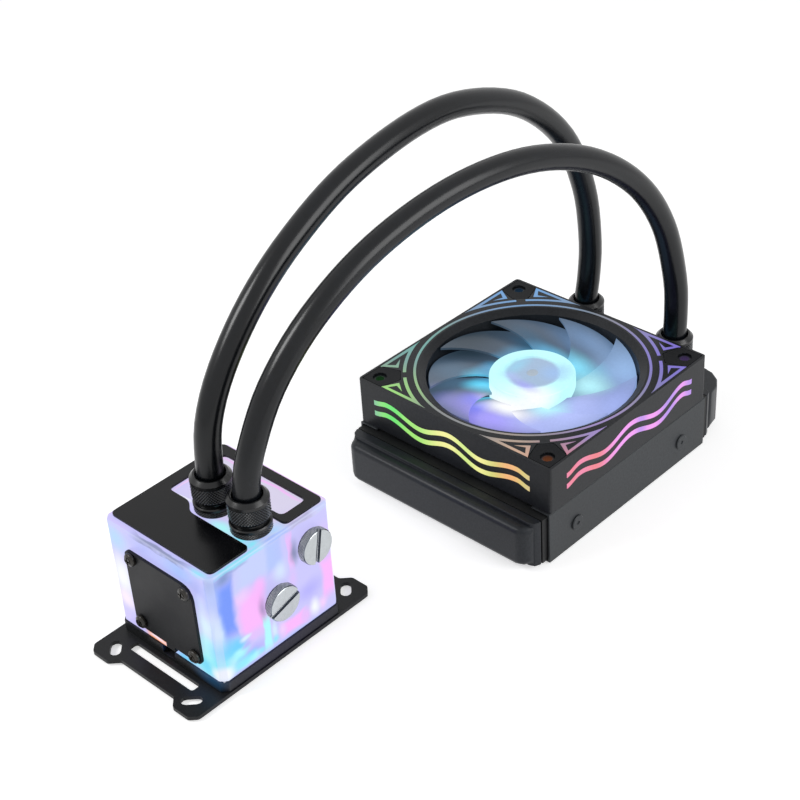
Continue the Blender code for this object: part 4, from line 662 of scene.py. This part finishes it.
# Fill plugs
# Nickel plated brass plugs with a knurled rim and a wide coin slot, each on a rubber ring.
# They screw into the ports of the +X face.
PLUG_PLACES = {"upper": (21.4, 50.2, -11.0), "lower": (-0.1, 32.8, -74.0)}
PLUG_FACE = 39.3
PLUG_SLOT_DEPTH = 1.6
PLUG_SLOT_HALF = 1.2
PLUG_THREAD_PITCH = 1.337
PLUG_COLUMNS = 136
PLUG_FLOOR_BELOW = 0.7
SLOT_SHADE, SIDE_SHADE = 0.45, 0.85
THREAD_ROWS = [(6.15 if n % 2 else 5.65, -9.8 + n * PLUG_THREAD_PITCH / 2) for n in range(9)]
PLUG_ROWS = [
    (0.0, -9.8), (5.3, -9.8), *THREAD_ROWS[1:], (6.15, -3.8), (8.3, -3.8), (8.42, -3.6),
    *knurl_rows(8.42, -3.5, -0.75, 8, 0.22), (8.42, -0.6), (8.25, -0.1), (8.1, 0.0), (0.0, 0.0),
]


def cut_away(mesh, place, normal):
    """Cut a closed mesh at a plane, throw away the side the normal points to, and close it."""
    everything = list(mesh.verts) + list(mesh.edges) + list(mesh.faces)
    cut = bmesh.ops.bisect_plane(mesh, geom=everything, dist=1e-7, plane_co=place, plane_no=normal,
                                 clear_outer=True)
    edges = [item for item in cut["geom_cut"] if isinstance(item, bmesh.types.BMEdge)]
    bmesh.ops.holes_fill(mesh, edges=edges, sides=0)
    return mesh


def faces_at(mesh, level):
    """The faces that lie at one height."""
    return [f for f in mesh.faces if abs(f.calc_center_median().z - level) < 1e-6]


def slotted_plug():
    """A knurled plug along Z whose face is at zero, with a coin slot along X.

    The body below the slot and the two halves beside it are cut from whole plugs and joined."""
    level, edge = -PLUG_SLOT_DEPTH * MM, PLUG_SLOT_HALF * MM
    body = cut_away(turned_solid(PLUG_ROWS, PLUG_COLUMNS, ring=False), (0, 0, level), (0, 0, 1))
    for sign in (-1, 1):
        split_faces(body, faces_at(body, level), (0, sign * edge, 0), (0, 1, 0))
    covered = [f for f in faces_at(body, level) if abs(f.calc_center_median().y) > edge]
    bmesh.ops.delete(body, geom=covered, context="FACES")
    parts = [body]
    for sign in (-1, 1):
        half = turned_solid(PLUG_ROWS, PLUG_COLUMNS, ring=False)
        cut_away(half, (0, 0, level), (0, 0, -1))
        cut_away(half, (0, sign * edge, 0), (0, -sign, 0))
        bmesh.ops.delete(half, geom=faces_at(half, level), context="FACES")
        parts.append(half)
    joined, carrier = bmesh.new(), bpy.data.meshes.new("plug_parts")
    for part in parts:
        part.to_mesh(carrier)
        part.free()
        joined.from_mesh(carrier)
    bpy.data.meshes.remove(carrier)
    bmesh.ops.remove_doubles(joined, verts=joined.verts, dist=2e-6)
    bmesh.ops.recalc_face_normals(joined, faces=joined.faces)
    return joined


plug_finish = grained("plug_finish", (182, 187, 189), (194, 199, 201), 0.22, 0.27,
                      relief=0.0, metal=1.0)
plug_tree = plug_finish.node_tree
seen_at = add_node(plug_tree, "TexCoord").outputs
out_from_block = add_node(plug_tree, "SeparateXYZ", {0: seen_at["Object"]}).outputs[0]
facing_out = add_node(plug_tree, "SeparateXYZ", {0: seen_at["Normal"]}).outputs[0]
# Painted shade: the slot's floor and every face that turns away from the plug's face are laid
# darker.
recessed = calc(plug_tree, "LESS_THAN", out_from_block, (PLUG_FACE - PLUG_FLOOR_BELOW) * MM)
shaded = calc(plug_tree, "MULTIPLY", recessed, SLOT_SHADE)
slot_floor = calc(plug_tree, "MULTIPLY", facing_out, shaded)
side_on = spread(plug_tree, facing_out, 0.75, 0.5, 0.0, SIDE_SHADE)
tint_over(plug_finish, (96, 102, 116),
          calc(plug_tree, "MAXIMUM", slot_floor, side_on, use_clamp=True))
# Painted glint: the plug's knurl points are laid white.
glint_points(plug_finish, (255, 255, 255), 1.0)
for which, (y, z, angle) in PLUG_PLACES.items():
    plug = move(turn(turn(slotted_plug(), 90, "Y"), angle, "X"), PLUG_FACE, y, z)
    add_piece("plug_head_" + which, plug, which + "_plug", plug_finish,
              ["fill_plug_" + which], crease=24)

# Radiator core
# Thirteen flat coolant tubes with fin rows between them, brazed and painted black.
core_finish = grained("core_finish", (14, 15, 16), (30, 31, 32), 0.4, 0.6, specular=0.3)
CORE_TOP = 26.0
spill_light(core_finish, [
    ((24.4, 182.6, CORE_TOP), (47, 47, 6), (46, 60, 74), 1, 0, 0.8),
    ((54, 176, CORE_TOP), (22, 28, 6), (98, 110, 160)),
    ((34, 152, CORE_TOP), (26, 12, 6), (98, 90, 162), 0.9),
    ((28, 184, CORE_TOP), (27, 27, 6), (100, 172, 216)),
])
repaint(core_finish, "radiator_core")

# Side plates and rivets
# A folded channel of black painted aluminium along each side of the core.
# Two rivets hold each one, and its upper flange takes the fan's screws.
plate_paint = grained("plate_paint", (42, 45, 48), (56, 59, 62), 0.34, 0.48, relief=0.1,
                      specular=0.25)
for side in ("left", "right"):
    rounded_piece("side_channel_" + side, "side_plate_" + side, 0.3, plate_paint)
    for number in (1, 2):
        rounded_piece("rivet_head_%s_%d" % (side, number), "rivet_%s_%d" % (side, number), 0.15,
                      plate_paint)

# Tanks
# Pressed aluminium cups with rounded edges and a rim that is crimped to the core, satin black.
tank_paint = grained("tank_paint", (24, 27, 32), (38, 41, 46), 0.28, 0.4, relief=0.06,
                     specular=0.25)
RADIATOR_MIDDLE = 182.6
TANK_BOTTOM, TANK_TOP = 3.4, 24.8
TANK_LIMITS = {"front": (68.9, 3.0), "rear": (70.5, 1.3)}
CAD_ROUNDING, MERGE_REACH, EDGE_REACH = 0.1, 0.13, 0.12
WALL_HEIGHT, TANK_EDGE = 10, 0.3


def rounded_cup(node, rim_end, rounding):
    """A tank whose outer edges above and below are rounded over, as on a pressed cup.

    The solid's own narrow rounding there is merged into one sharp edge first."""
    mesh = welded_copy(node)

    def at_edge(vert, near):
        """Whether a point lies beyond the rim and near the tank's top or bottom."""
        off = min(abs(vert.co.z - level * MM) for level in (TANK_TOP, TANK_BOTTOM))
        return off < near * MM and abs(vert.co.y - RADIATOR_MIDDLE * MM) > rim_end * MM

    narrow = [v for v in mesh.verts if at_edge(v, CAD_ROUNDING)]
    bmesh.ops.remove_doubles(mesh, verts=narrow, dist=MERGE_REACH * MM)
    bmesh.ops.dissolve_limit(mesh, angle_limit=radians(2), verts=mesh.verts, edges=mesh.edges)
    outer = [e for e in sharp_edges(mesh, 60) if all(at_edge(v, EDGE_REACH) for v in e.verts)
             and any(abs(f.normal.z) < 0.1 and f.calc_area() > e.calc_length() * WALL_HEIGHT * MM
                     for f in e.link_faces)]
    round_edges(mesh, outer, rounding * MM, segments=4, clamp=False)
    round_edges(mesh, sharp_edges(mesh, 60), TANK_EDGE * MM)
    return mesh


for end, limits in TANK_LIMITS.items():
    add_piece(end + "_tank_cup", rounded_cup(end + "_tank", *limits), "cooler", tank_paint,
              [end + "_tank"], crease=50)

# Fan frame
# A square black moulding, 120 mm wide, with a round bore, four struts and the motor's base.
# Thin strips of lit plastic are let into its face and sides: a ring, corner marks and waves.
FAN_X, FAN_Y = 24.4, 182.6
FAN_TOP = 53.4
FAN_SIDE = 60.0
INLAY_DEPTH, INLAY_PROUD = 0.2, 0.06
RING_INNER, RING_OUTER = 56.6, 57.9
FRAME_TINTS = {
    "green": (104, 236, 112), "lime": (166, 240, 118), "cream": (255, 250, 160),
    "amber": (253, 186, 124), "sand": (236, 190, 150), "rose": (246, 124, 134),
    "pink": (250, 158, 248), "violet": (182, 142, 240), "teal": (112, 176, 168),
    "indigo": (134, 116, 232), "azure": (100, 170, 235), "grey": (140, 142, 144),
    "navy": (20, 28, 48), "orange": (236, 140, 90),
}
HAZE = 0.03


def fan_patches(tints, height, depth, *rows):
    """Patches of light at one height, placed from the fan's middle."""
    return [((FAN_X + x, FAN_Y + y, height), (wide, long, depth), tints[shade], *rest)
            for x, y, wide, long, shade, *rest in rows]


def lit_material(name, base, strength, patches, dark=(20, 22, 26)):
    """A lit plastic whose glow follows patches of colour."""
    material, tree, shader, place = new_surface(
        name, Base_Color=tint(*dark), Roughness=0.4, Emission_Strength=strength)
    colour = add_glow(tree, wavered(tree, place, 60.0, 0.003), base, patches)
    grain = add_node(tree, "TexNoise", {"Vector": place, "Scale": 700.0, "Detail": 2.0})
    level = spread(tree, grain.outputs["Fac"], 0.3, 0.7, 1 - HAZE, 1 + HAZE)
    tree.links.new(calc_vector(tree, "SCALE", colour, level), shader.inputs["Emission Color"])
    return material


frame_finish = grained("frame_finish", (20, 22, 25), (34, 36, 40), 0.3, 0.44, relief=0.08,
                       specular=0.22)
spill_light(frame_finish, [
    *fan_patches(FRAME_TINTS, 38, 15.2, (0, 0, 53.6, 53.6, "navy", 0.6, 0, 1.0)),
    *fan_patches(FRAME_TINTS, 33, 5, (6, -3, 36, 36, "azure", 0.45)),
    *fan_patches(FRAME_TINTS, 33, 6, (-28, 4, 20, 34, "navy", 0.8)),
    *fan_patches(FRAME_TINTS, 50, 4, (-52.5, 52.5, 2.4, 2.4, "azure", 0.16),
                 (-52.5, -52.5, 2.4, 2.4, "green", 0.12), (52.5, 52.5, 2.4, 2.4, "violet", 0.3),
                 (52.5, -52.5, 2.4, 2.4, "orange", 0.4)),
])
rounded_piece("fan_housing", "fan_frame", 0.2, frame_finish)
face_light = lit_material("fan_face_light", FRAME_TINTS["grey"], 0.82, fan_patches(
    FRAME_TINTS, 53, 30,
    (-60, 60, 50, 50, "azure"), (-62, -20, 34, 34, "teal"), (-40, -62, 24, 24, "lime", 0.9),
    (60, 60, 50, 50, "indigo"), (60, -20, 22, 30, "violet", 0.6), (64, -56, 24, 22, "rose", 0.8),
    (40, -62, 22, 16, "sand", 0.7), (0, -62, 26, 16, "grey", 0.8)))


def raised(outlines, place):
    """Flat faces drawn in two axes, given a little height and put in place by a matrix."""
    mesh = bmesh.new()
    for outline in outlines:
        mesh.faces.new([mesh.verts.new((x * MM, y * MM, 0.0)) for x, y in outline])
    bmesh.ops.remove_doubles(mesh, verts=mesh.verts, dist=1e-7)
    made = bmesh.ops.extrude_face_region(mesh, geom=list(mesh.faces), use_keep_orig=True)
    height = (INLAY_DEPTH + INLAY_PROUD) * MM
    bmesh.ops.translate(mesh, verts=new_points(made), vec=(0, 0, height))
    bmesh.ops.recalc_face_normals(mesh, faces=mesh.faces)
    bmesh.ops.transform(mesh, matrix=place, verts=mesh.verts)
    return mesh


face_place = Matrix.Translation((FAN_X * MM, FAN_Y * MM, (FAN_TOP - INLAY_DEPTH) * MM))
ring = turned_solid([
    (RING_INNER, -INLAY_DEPTH), (RING_OUTER, -INLAY_DEPTH), (RING_OUTER, INLAY_PROUD),
    (RING_INNER, INLAY_PROUD)], 144)
add_piece("fan_ring_light", move(ring, FAN_X, FAN_Y, FAN_TOP), "cooler", face_light)


def arc_points(radius, first, last, steps):
    """Points along an arc about the fan's middle."""
    angles = [radians(first + (last - first) * n / steps) for n in range(steps + 1)]
    return [(radius * cos(a), radius * sin(a)) for a in angles]


MARK_HOOK = [
    [(17.0, 58.7), (27.0, 56.9), (43.1, 56.9), (45.8, 58.4)],
    [(45.8, 58.4), (43.1, 56.9), (40.4, 53.2), (41.2, 50.7)],
    [(41.2, 50.7), (40.4, 53.2), (35.2, 55.2)],
]
outer_arc = arc_points(63.0, 47.2, 64.6, 8) + [(23.7, 57.5), (20.4, 58.1), (17.0, 58.7)]
inner_arc = arc_points(61.4, 47.2, 64.6, 8) + arc_points(61.4, 67.6, 73.4, 2)
MARK_ARC = [[a, b, d, c] for a, b, c, d in zip(outer_arc, outer_arc[1:], inner_arc, inner_arc[1:])]
marks = []
for x_side in (-1, 1):
    for y_side in (-1, 1):
        for outline in MARK_HOOK + MARK_ARC:
            marks.append([(x_side * a, y_side * b) for a, b in outline])
            marks.append([(x_side * b, y_side * a) for a, b in outline])
add_piece("fan_corner_marks", raised(marks, face_place), "cooler", face_light)

WAVE_WIDTH = 2.7
WAVE_GAP = 6.1
WAVE_STEPS = 10
WAVES = {
    "front": [(-50, 43.3), (-41, 45), (-20, 40.3), (-1, 45), (18, 39.9), (40.5, 45),
              (48, 43.3)],
    "right": [(-48, 43.5), (-38.5, 45.7), (-19.5, 41.2), (0, 46), (22, 40.6), (40.5, 46.5),
              (48.2, 44.5)],
}
WAVE_TURNS = {"front": 0, "right": 90, "back": 180, "left": 270}


def wave_line(bends, drop):
    """The quads of one wave: eased between its crests and troughs."""
    middle = []
    for (start, low), (end, high) in zip(bends, bends[1:]):
        for step in range(WAVE_STEPS):
            t = step / WAVE_STEPS
            middle.append((start + (end - start) * t,
                           low + (high - low) * (1 - cos(pi * t)) / 2 - drop))
    middle.append((bends[-1][0], bends[-1][1] - drop))
    half = WAVE_WIDTH / 2
    return [[(x, y - half), (end, high - half), (end, high + half), (x, y + half)]
            for (x, y), (end, high) in zip(middle, middle[1:])]


wave_light = {
    "front": lit_material("wave_light_warm", FRAME_TINTS["lime"], 0.9, fan_patches(
        FRAME_TINTS, 42, 40,
        (-52, -60, 8, 9, "teal", 0.8), (-38, -60, 9, 9, "green"), (-3, -60, 16, 9, "cream"),
        (18, -60, 9, 9, "cream"), (36, -60, 14, 9, "amber"), (50, -60, 6, 9, "sand", 0.8),
        (0, 60, 70, 9, "azure"))),
    "right": lit_material("wave_light_cool", FRAME_TINTS["pink"], 0.9, fan_patches(
        FRAME_TINTS, 42, 40,
        (60, -44, 9, 12, "rose", 0.9), (60, -27, 9, 14, "rose"), (60, 8, 9, 5, "violet", 0.8),
        (60, 30, 9, 9, "violet"), (60, 47, 9, 6, "violet", 0.9), (-60, 0, 9, 70, "teal"))),
}
for side, angle in WAVE_TURNS.items():
    like = "right" if angle % 180 else "front"
    quads = wave_line(WAVES[like], 0) + wave_line(WAVES[like], WAVE_GAP)
    place = (Matrix.Translation((FAN_X * MM, FAN_Y * MM, 0))
             @ Matrix.Rotation(radians(angle), 4, "Z")
             @ Matrix.Translation((0, -(FAN_SIDE - INLAY_DEPTH) * MM, 0))
             @ Matrix.Rotation(radians(90), 4, "X"))
    add_piece("fan_waves_" + side, raised(quads, place), "cooler", wave_light[like])

# Corner pads
# Soft rubber pads with a fine pattern of dots, let into the frame's corners.
# Each has a round hole over the screw hole.
PAD_DOT_SCALE = 1400.0
pad_finish = grained("pad_finish", (7, 9, 12), (15, 17, 21), 0.55, 0.75, relief=0.3, specular=0.2)
pad_tree = pad_finish.node_tree
dots = add_node(pad_tree, "TexVoronoi", {
    "Vector": add_node(pad_tree, "TexCoord").outputs["Object"], "Scale": PAD_DOT_SCALE,
    "Randomness": 0.35}, voronoi_dimensions="3D")
tint_over(pad_finish, (62, 68, 78), spread(pad_tree, dots.outputs["Distance"], 0.3, 0.18))
for number in range(1, 5):
    rounded_piece("pad_%d" % number, "corner_pad_%d" % number, 0.12, pad_finish)

# Fan rotor
# Nine swept blades and a hub moulded in milky plastic, turning on the shaft.
# Lights on the motor's board shine out through the hub and along the blades.
HUB_TOP = 50.2
FAN_BOTTOM = 28.4
BLADE_ROOT, BLADE_TIP = 20.3, 50.6
BLADE_COUNT, BLADE_RINGS, BLADE_STEPS = 9, 9, 18
BLADE_SWEEP, BLADE_CHORD = 34, 58
BLADE_LEAD, LEAD_RISE, LEAD_CURVE = 15.0, 7.4, 0.8
BLADE_DROP, DROP_RISE = 7.0, 3.0
BLADE_CAMBER, BLADE_THICKNESS = 1.6, 1.2
HUB_ROWS = [
    (0.0, -0.6), (2.7, -0.6), (3.0, -0.5), (3.1, -0.3), (13.7, -0.3), (13.9, -0.25), (14.0, 0.0),
    (19.6, 0.0), (20.3, -0.15), (20.85, -0.5), (21.15, -1.0), (21.2, -1.6), (21.2, -17.0),
    (19.4, -17.0), (19.4, -2.2), (1.8, -2.2), (1.8, -1.2), (0.0, -1.2),
]


def rotor_blade(mesh, number):
    """Add one blade: a swept, cambered sheet from hub to tip, thick in the middle."""
    rows = []
    for ring in range(BLADE_RINGS):
        share = ring / (BLADE_RINGS - 1)
        radius = (BLADE_ROOT + (BLADE_TIP - BLADE_ROOT) * share) * MM
        lead, drop = BLADE_LEAD + LEAD_RISE * share ** LEAD_CURVE, BLADE_DROP + DROP_RISE * share
        row = []
        for step in range(BLADE_STEPS + 1):
            chord = step / BLADE_STEPS
            angle = radians(360 / BLADE_COUNT * number + BLADE_SWEEP * share - BLADE_CHORD * chord)
            height = FAN_BOTTOM + lead - drop * chord + BLADE_CAMBER * sin(pi * chord)
            row.append(mesh.verts.new((radius * cos(angle), radius * sin(angle), height * MM)))
        rows.append(row)
    sheet = [mesh.faces.new((lower[n], lower[n + 1], upper[n + 1], upper[n]))
             for lower, upper in zip(rows, rows[1:]) for n in range(BLADE_STEPS)]
    bmesh.ops.recalc_face_normals(mesh, faces=sheet)
    bmesh.ops.solidify(mesh, geom=sheet, thickness=BLADE_THICKNESS * MM)


ROTOR_TINTS = {
    "slate": (38, 54, 66), "steel": (70, 88, 108), "teal": (48, 88, 116), "sea": (76, 108, 134),
    "mauve": (106, 114, 162), "denim": (118, 152, 196), "cornflower": (150, 188, 238),
    "peri": (154, 172, 236), "lavender": (176, 190, 252), "iris": (160, 150, 252),
    "violet": (134, 136, 252), "azure": (132, 226, 255), "sky": (180, 244, 255),
    "cyan": (98, 216, 252), "lagoon": (84, 166, 212), "white": (252, 252, 255),
    "disc": (156, 182, 212), "dimple": (162, 176, 190), "rim": (192, 252, 255),
}
hub_light = lit_material("hub_light", ROTOR_TINTS["rim"], 0.98, [
    *fan_patches(ROTOR_TINTS, 33, 9, (0, 0, 34, 34, "azure", 0.6)),
    *fan_patches(ROTOR_TINTS, 42, 8, (4, -20, 24, 9, "white")),
    *fan_patches(ROTOR_TINTS, 48, 8, (14, -14, 14, 10, "white")),
    *fan_patches(ROTOR_TINTS, 48, 5, (16, 12, 9, 9, "sky", 0.4)),
    *fan_patches(ROTOR_TINTS, 50, 1.6, (0, 0, 13.9, 13.9, "disc", 1, 0, 0.95),
                 (9, 7, 8, 8, "cornflower", 0.8), (-10, 0, 5, 12, "azure", 0.4),
                 (5, -11, 9, 4, "iris", 0.6), (-6, -9, 6, 4, "lavender", 0.5),
                 (0, 0, 3.2, 3.2, "dimple", 1, 0, 0.9)),
], dark=(34, 36, 40))
blade_light = lit_material("blade_light", ROTOR_TINTS["steel"], 0.95, fan_patches(
    ROTOR_TINTS, 44, 40,
    (-48, 6, 22, 32, "slate"), (-22, 27, 14, 6, "teal", 0.9), (-30, -20, 16, 12, "sea", 0.8),
    (-20, -40, 12, 8, "mauve", 0.8), (6, 42, 28, 10, "denim", 0.8),
    (32, 32, 20, 18, "cornflower", 0.9), (46, 6, 16, 26, "peri"), (34, -16, 26, 24, "lavender"),
    (8, -38, 30, 14, "iris"), (-8, -31, 10, 8, "violet", 0.9), (26, -30, 16, 12, "lavender", 0.7),
    (6, 23, 20, 9, "azure"), (24, 14, 13, 10, "sky"), (31, -4, 10, 13, "lavender", 0.8),
    (21, -13, 10, 10, "sky"), (5, -25, 17, 8, "white"), (-19, -15, 10, 10, "cyan"),
    (-23, -2, 7, 12, "lagoon", 0.9), (-20, 14, 9, 10, "lagoon", 0.7),
    (-8, 24, 13, 7, "lagoon", 0.9)), dark=(22, 25, 30))
blades = bmesh.new()
for number in range(BLADE_COUNT):
    rotor_blade(blades, number)
hub = turned_solid([(r, z + HUB_TOP) for r, z in HUB_ROWS], 96, ring=False)
for name, mesh, finish in (("rotor_hub", hub, hub_light), ("rotor_blades", blades, blade_light)):
    add_piece(name, move(mesh, FAN_X, FAN_Y, 0), "fan_wheel", finish,
              ["fan_rotor"], crease=30)

# Fan motor
# The shaft turns in a bronze bearing inside a wound stator, under the hub's magnet ring.
repaint(grained("magnet_finish", (60, 60, 62), (84, 84, 86), 0.5, 0.7), "magnet_ring")
repaint(grained("shaft_finish", (180, 180, 184), (210, 210, 214), 0.15, 0.25,
        metal=1.0), "fan_shaft")
repaint(grained("bronze_finish", (150, 118, 62), (184, 150, 90), 0.35, 0.5,
        metal=1.0), "fan_bearing")
repaint(grained("winding_finish", (140, 84, 44), (196, 124, 70), 0.3, 0.5,
        metal=0.8), "fan_stator")

# Floor
# A plain white floor that keeps a faint shadow.
FLOOR_DROP = 0.0006
FLOOR_GLOW = 0.55
floor_mesh = bmesh.new()
bmesh.ops.create_grid(floor_mesh, x_segments=4, y_segments=4, size=4.0)
bmesh.ops.translate(floor_mesh, verts=floor_mesh.verts, vec=(0, 0, -FLOOR_DROP))
floor_data = bpy.data.meshes.new("floor")
floor_mesh.to_mesh(floor_data)
floor_mesh.free()
floor = new_object("floor", floor_data)


def seen_directly(tree):
    """One for rays the camera sees straight, in a reflection or through a clear piece."""
    rays = add_node(tree, "LightPath").outputs
    mirrored = calc(tree, "MAXIMUM", rays["Is Camera Ray"], rays["Is Glossy Ray"])
    return calc(tree, "MAXIMUM", mirrored, rays["Is Transmission Ray"])


floor_material, floor_tree, floor_shader, _ = new_surface(
    "floor_white", Base_Color=tint(232, 232, 232), Roughness=0.9, Specular_IOR_Level=0.0,
    Emission_Color=(1, 1, 1, 1))
floor_tree.links.new(calc(floor_tree, "MULTIPLY", seen_directly(floor_tree), FLOOR_GLOW),
                     floor_shader.inputs["Emission Strength"])
floor_data.materials.append(floor_material)

# Studio light
# Two large soft lamps, from the front left and the right, and a bright surround.
# The surround shows white to the camera and through clear pieces.
LAMP_AIM = (0.02, 0.12, 0.05)
SURROUND_LIGHT = 0.34
world = bpy.data.worlds.new("studio")
bpy.context.scene.world = world
world.use_nodes = True
sky = world.node_tree
background = sky.nodes["Background"]
background.inputs["Color"].default_value = (1, 1, 1, 1)
sky.links.new(spread(sky, seen_directly(sky), 0, 1, SURROUND_LIGHT, 1.0),
              background.inputs["Strength"])


def add_lamp(name, place, size, power):
    """A square soft lamp that points at the cooler."""
    data = bpy.data.lights.new(name, "AREA")
    data.size = size
    data.energy = power
    new_object(name, data).matrix_world = looking_at(place, LAMP_AIM)


add_lamp("key_lamp", (-0.5, -0.62, 0.88), 0.4, 6.0)
add_lamp("side_lamp", (1.0, 0.35, 0.55), 0.7, 7.0)

bpy.context.scene.view_settings.view_transform = "Standard"
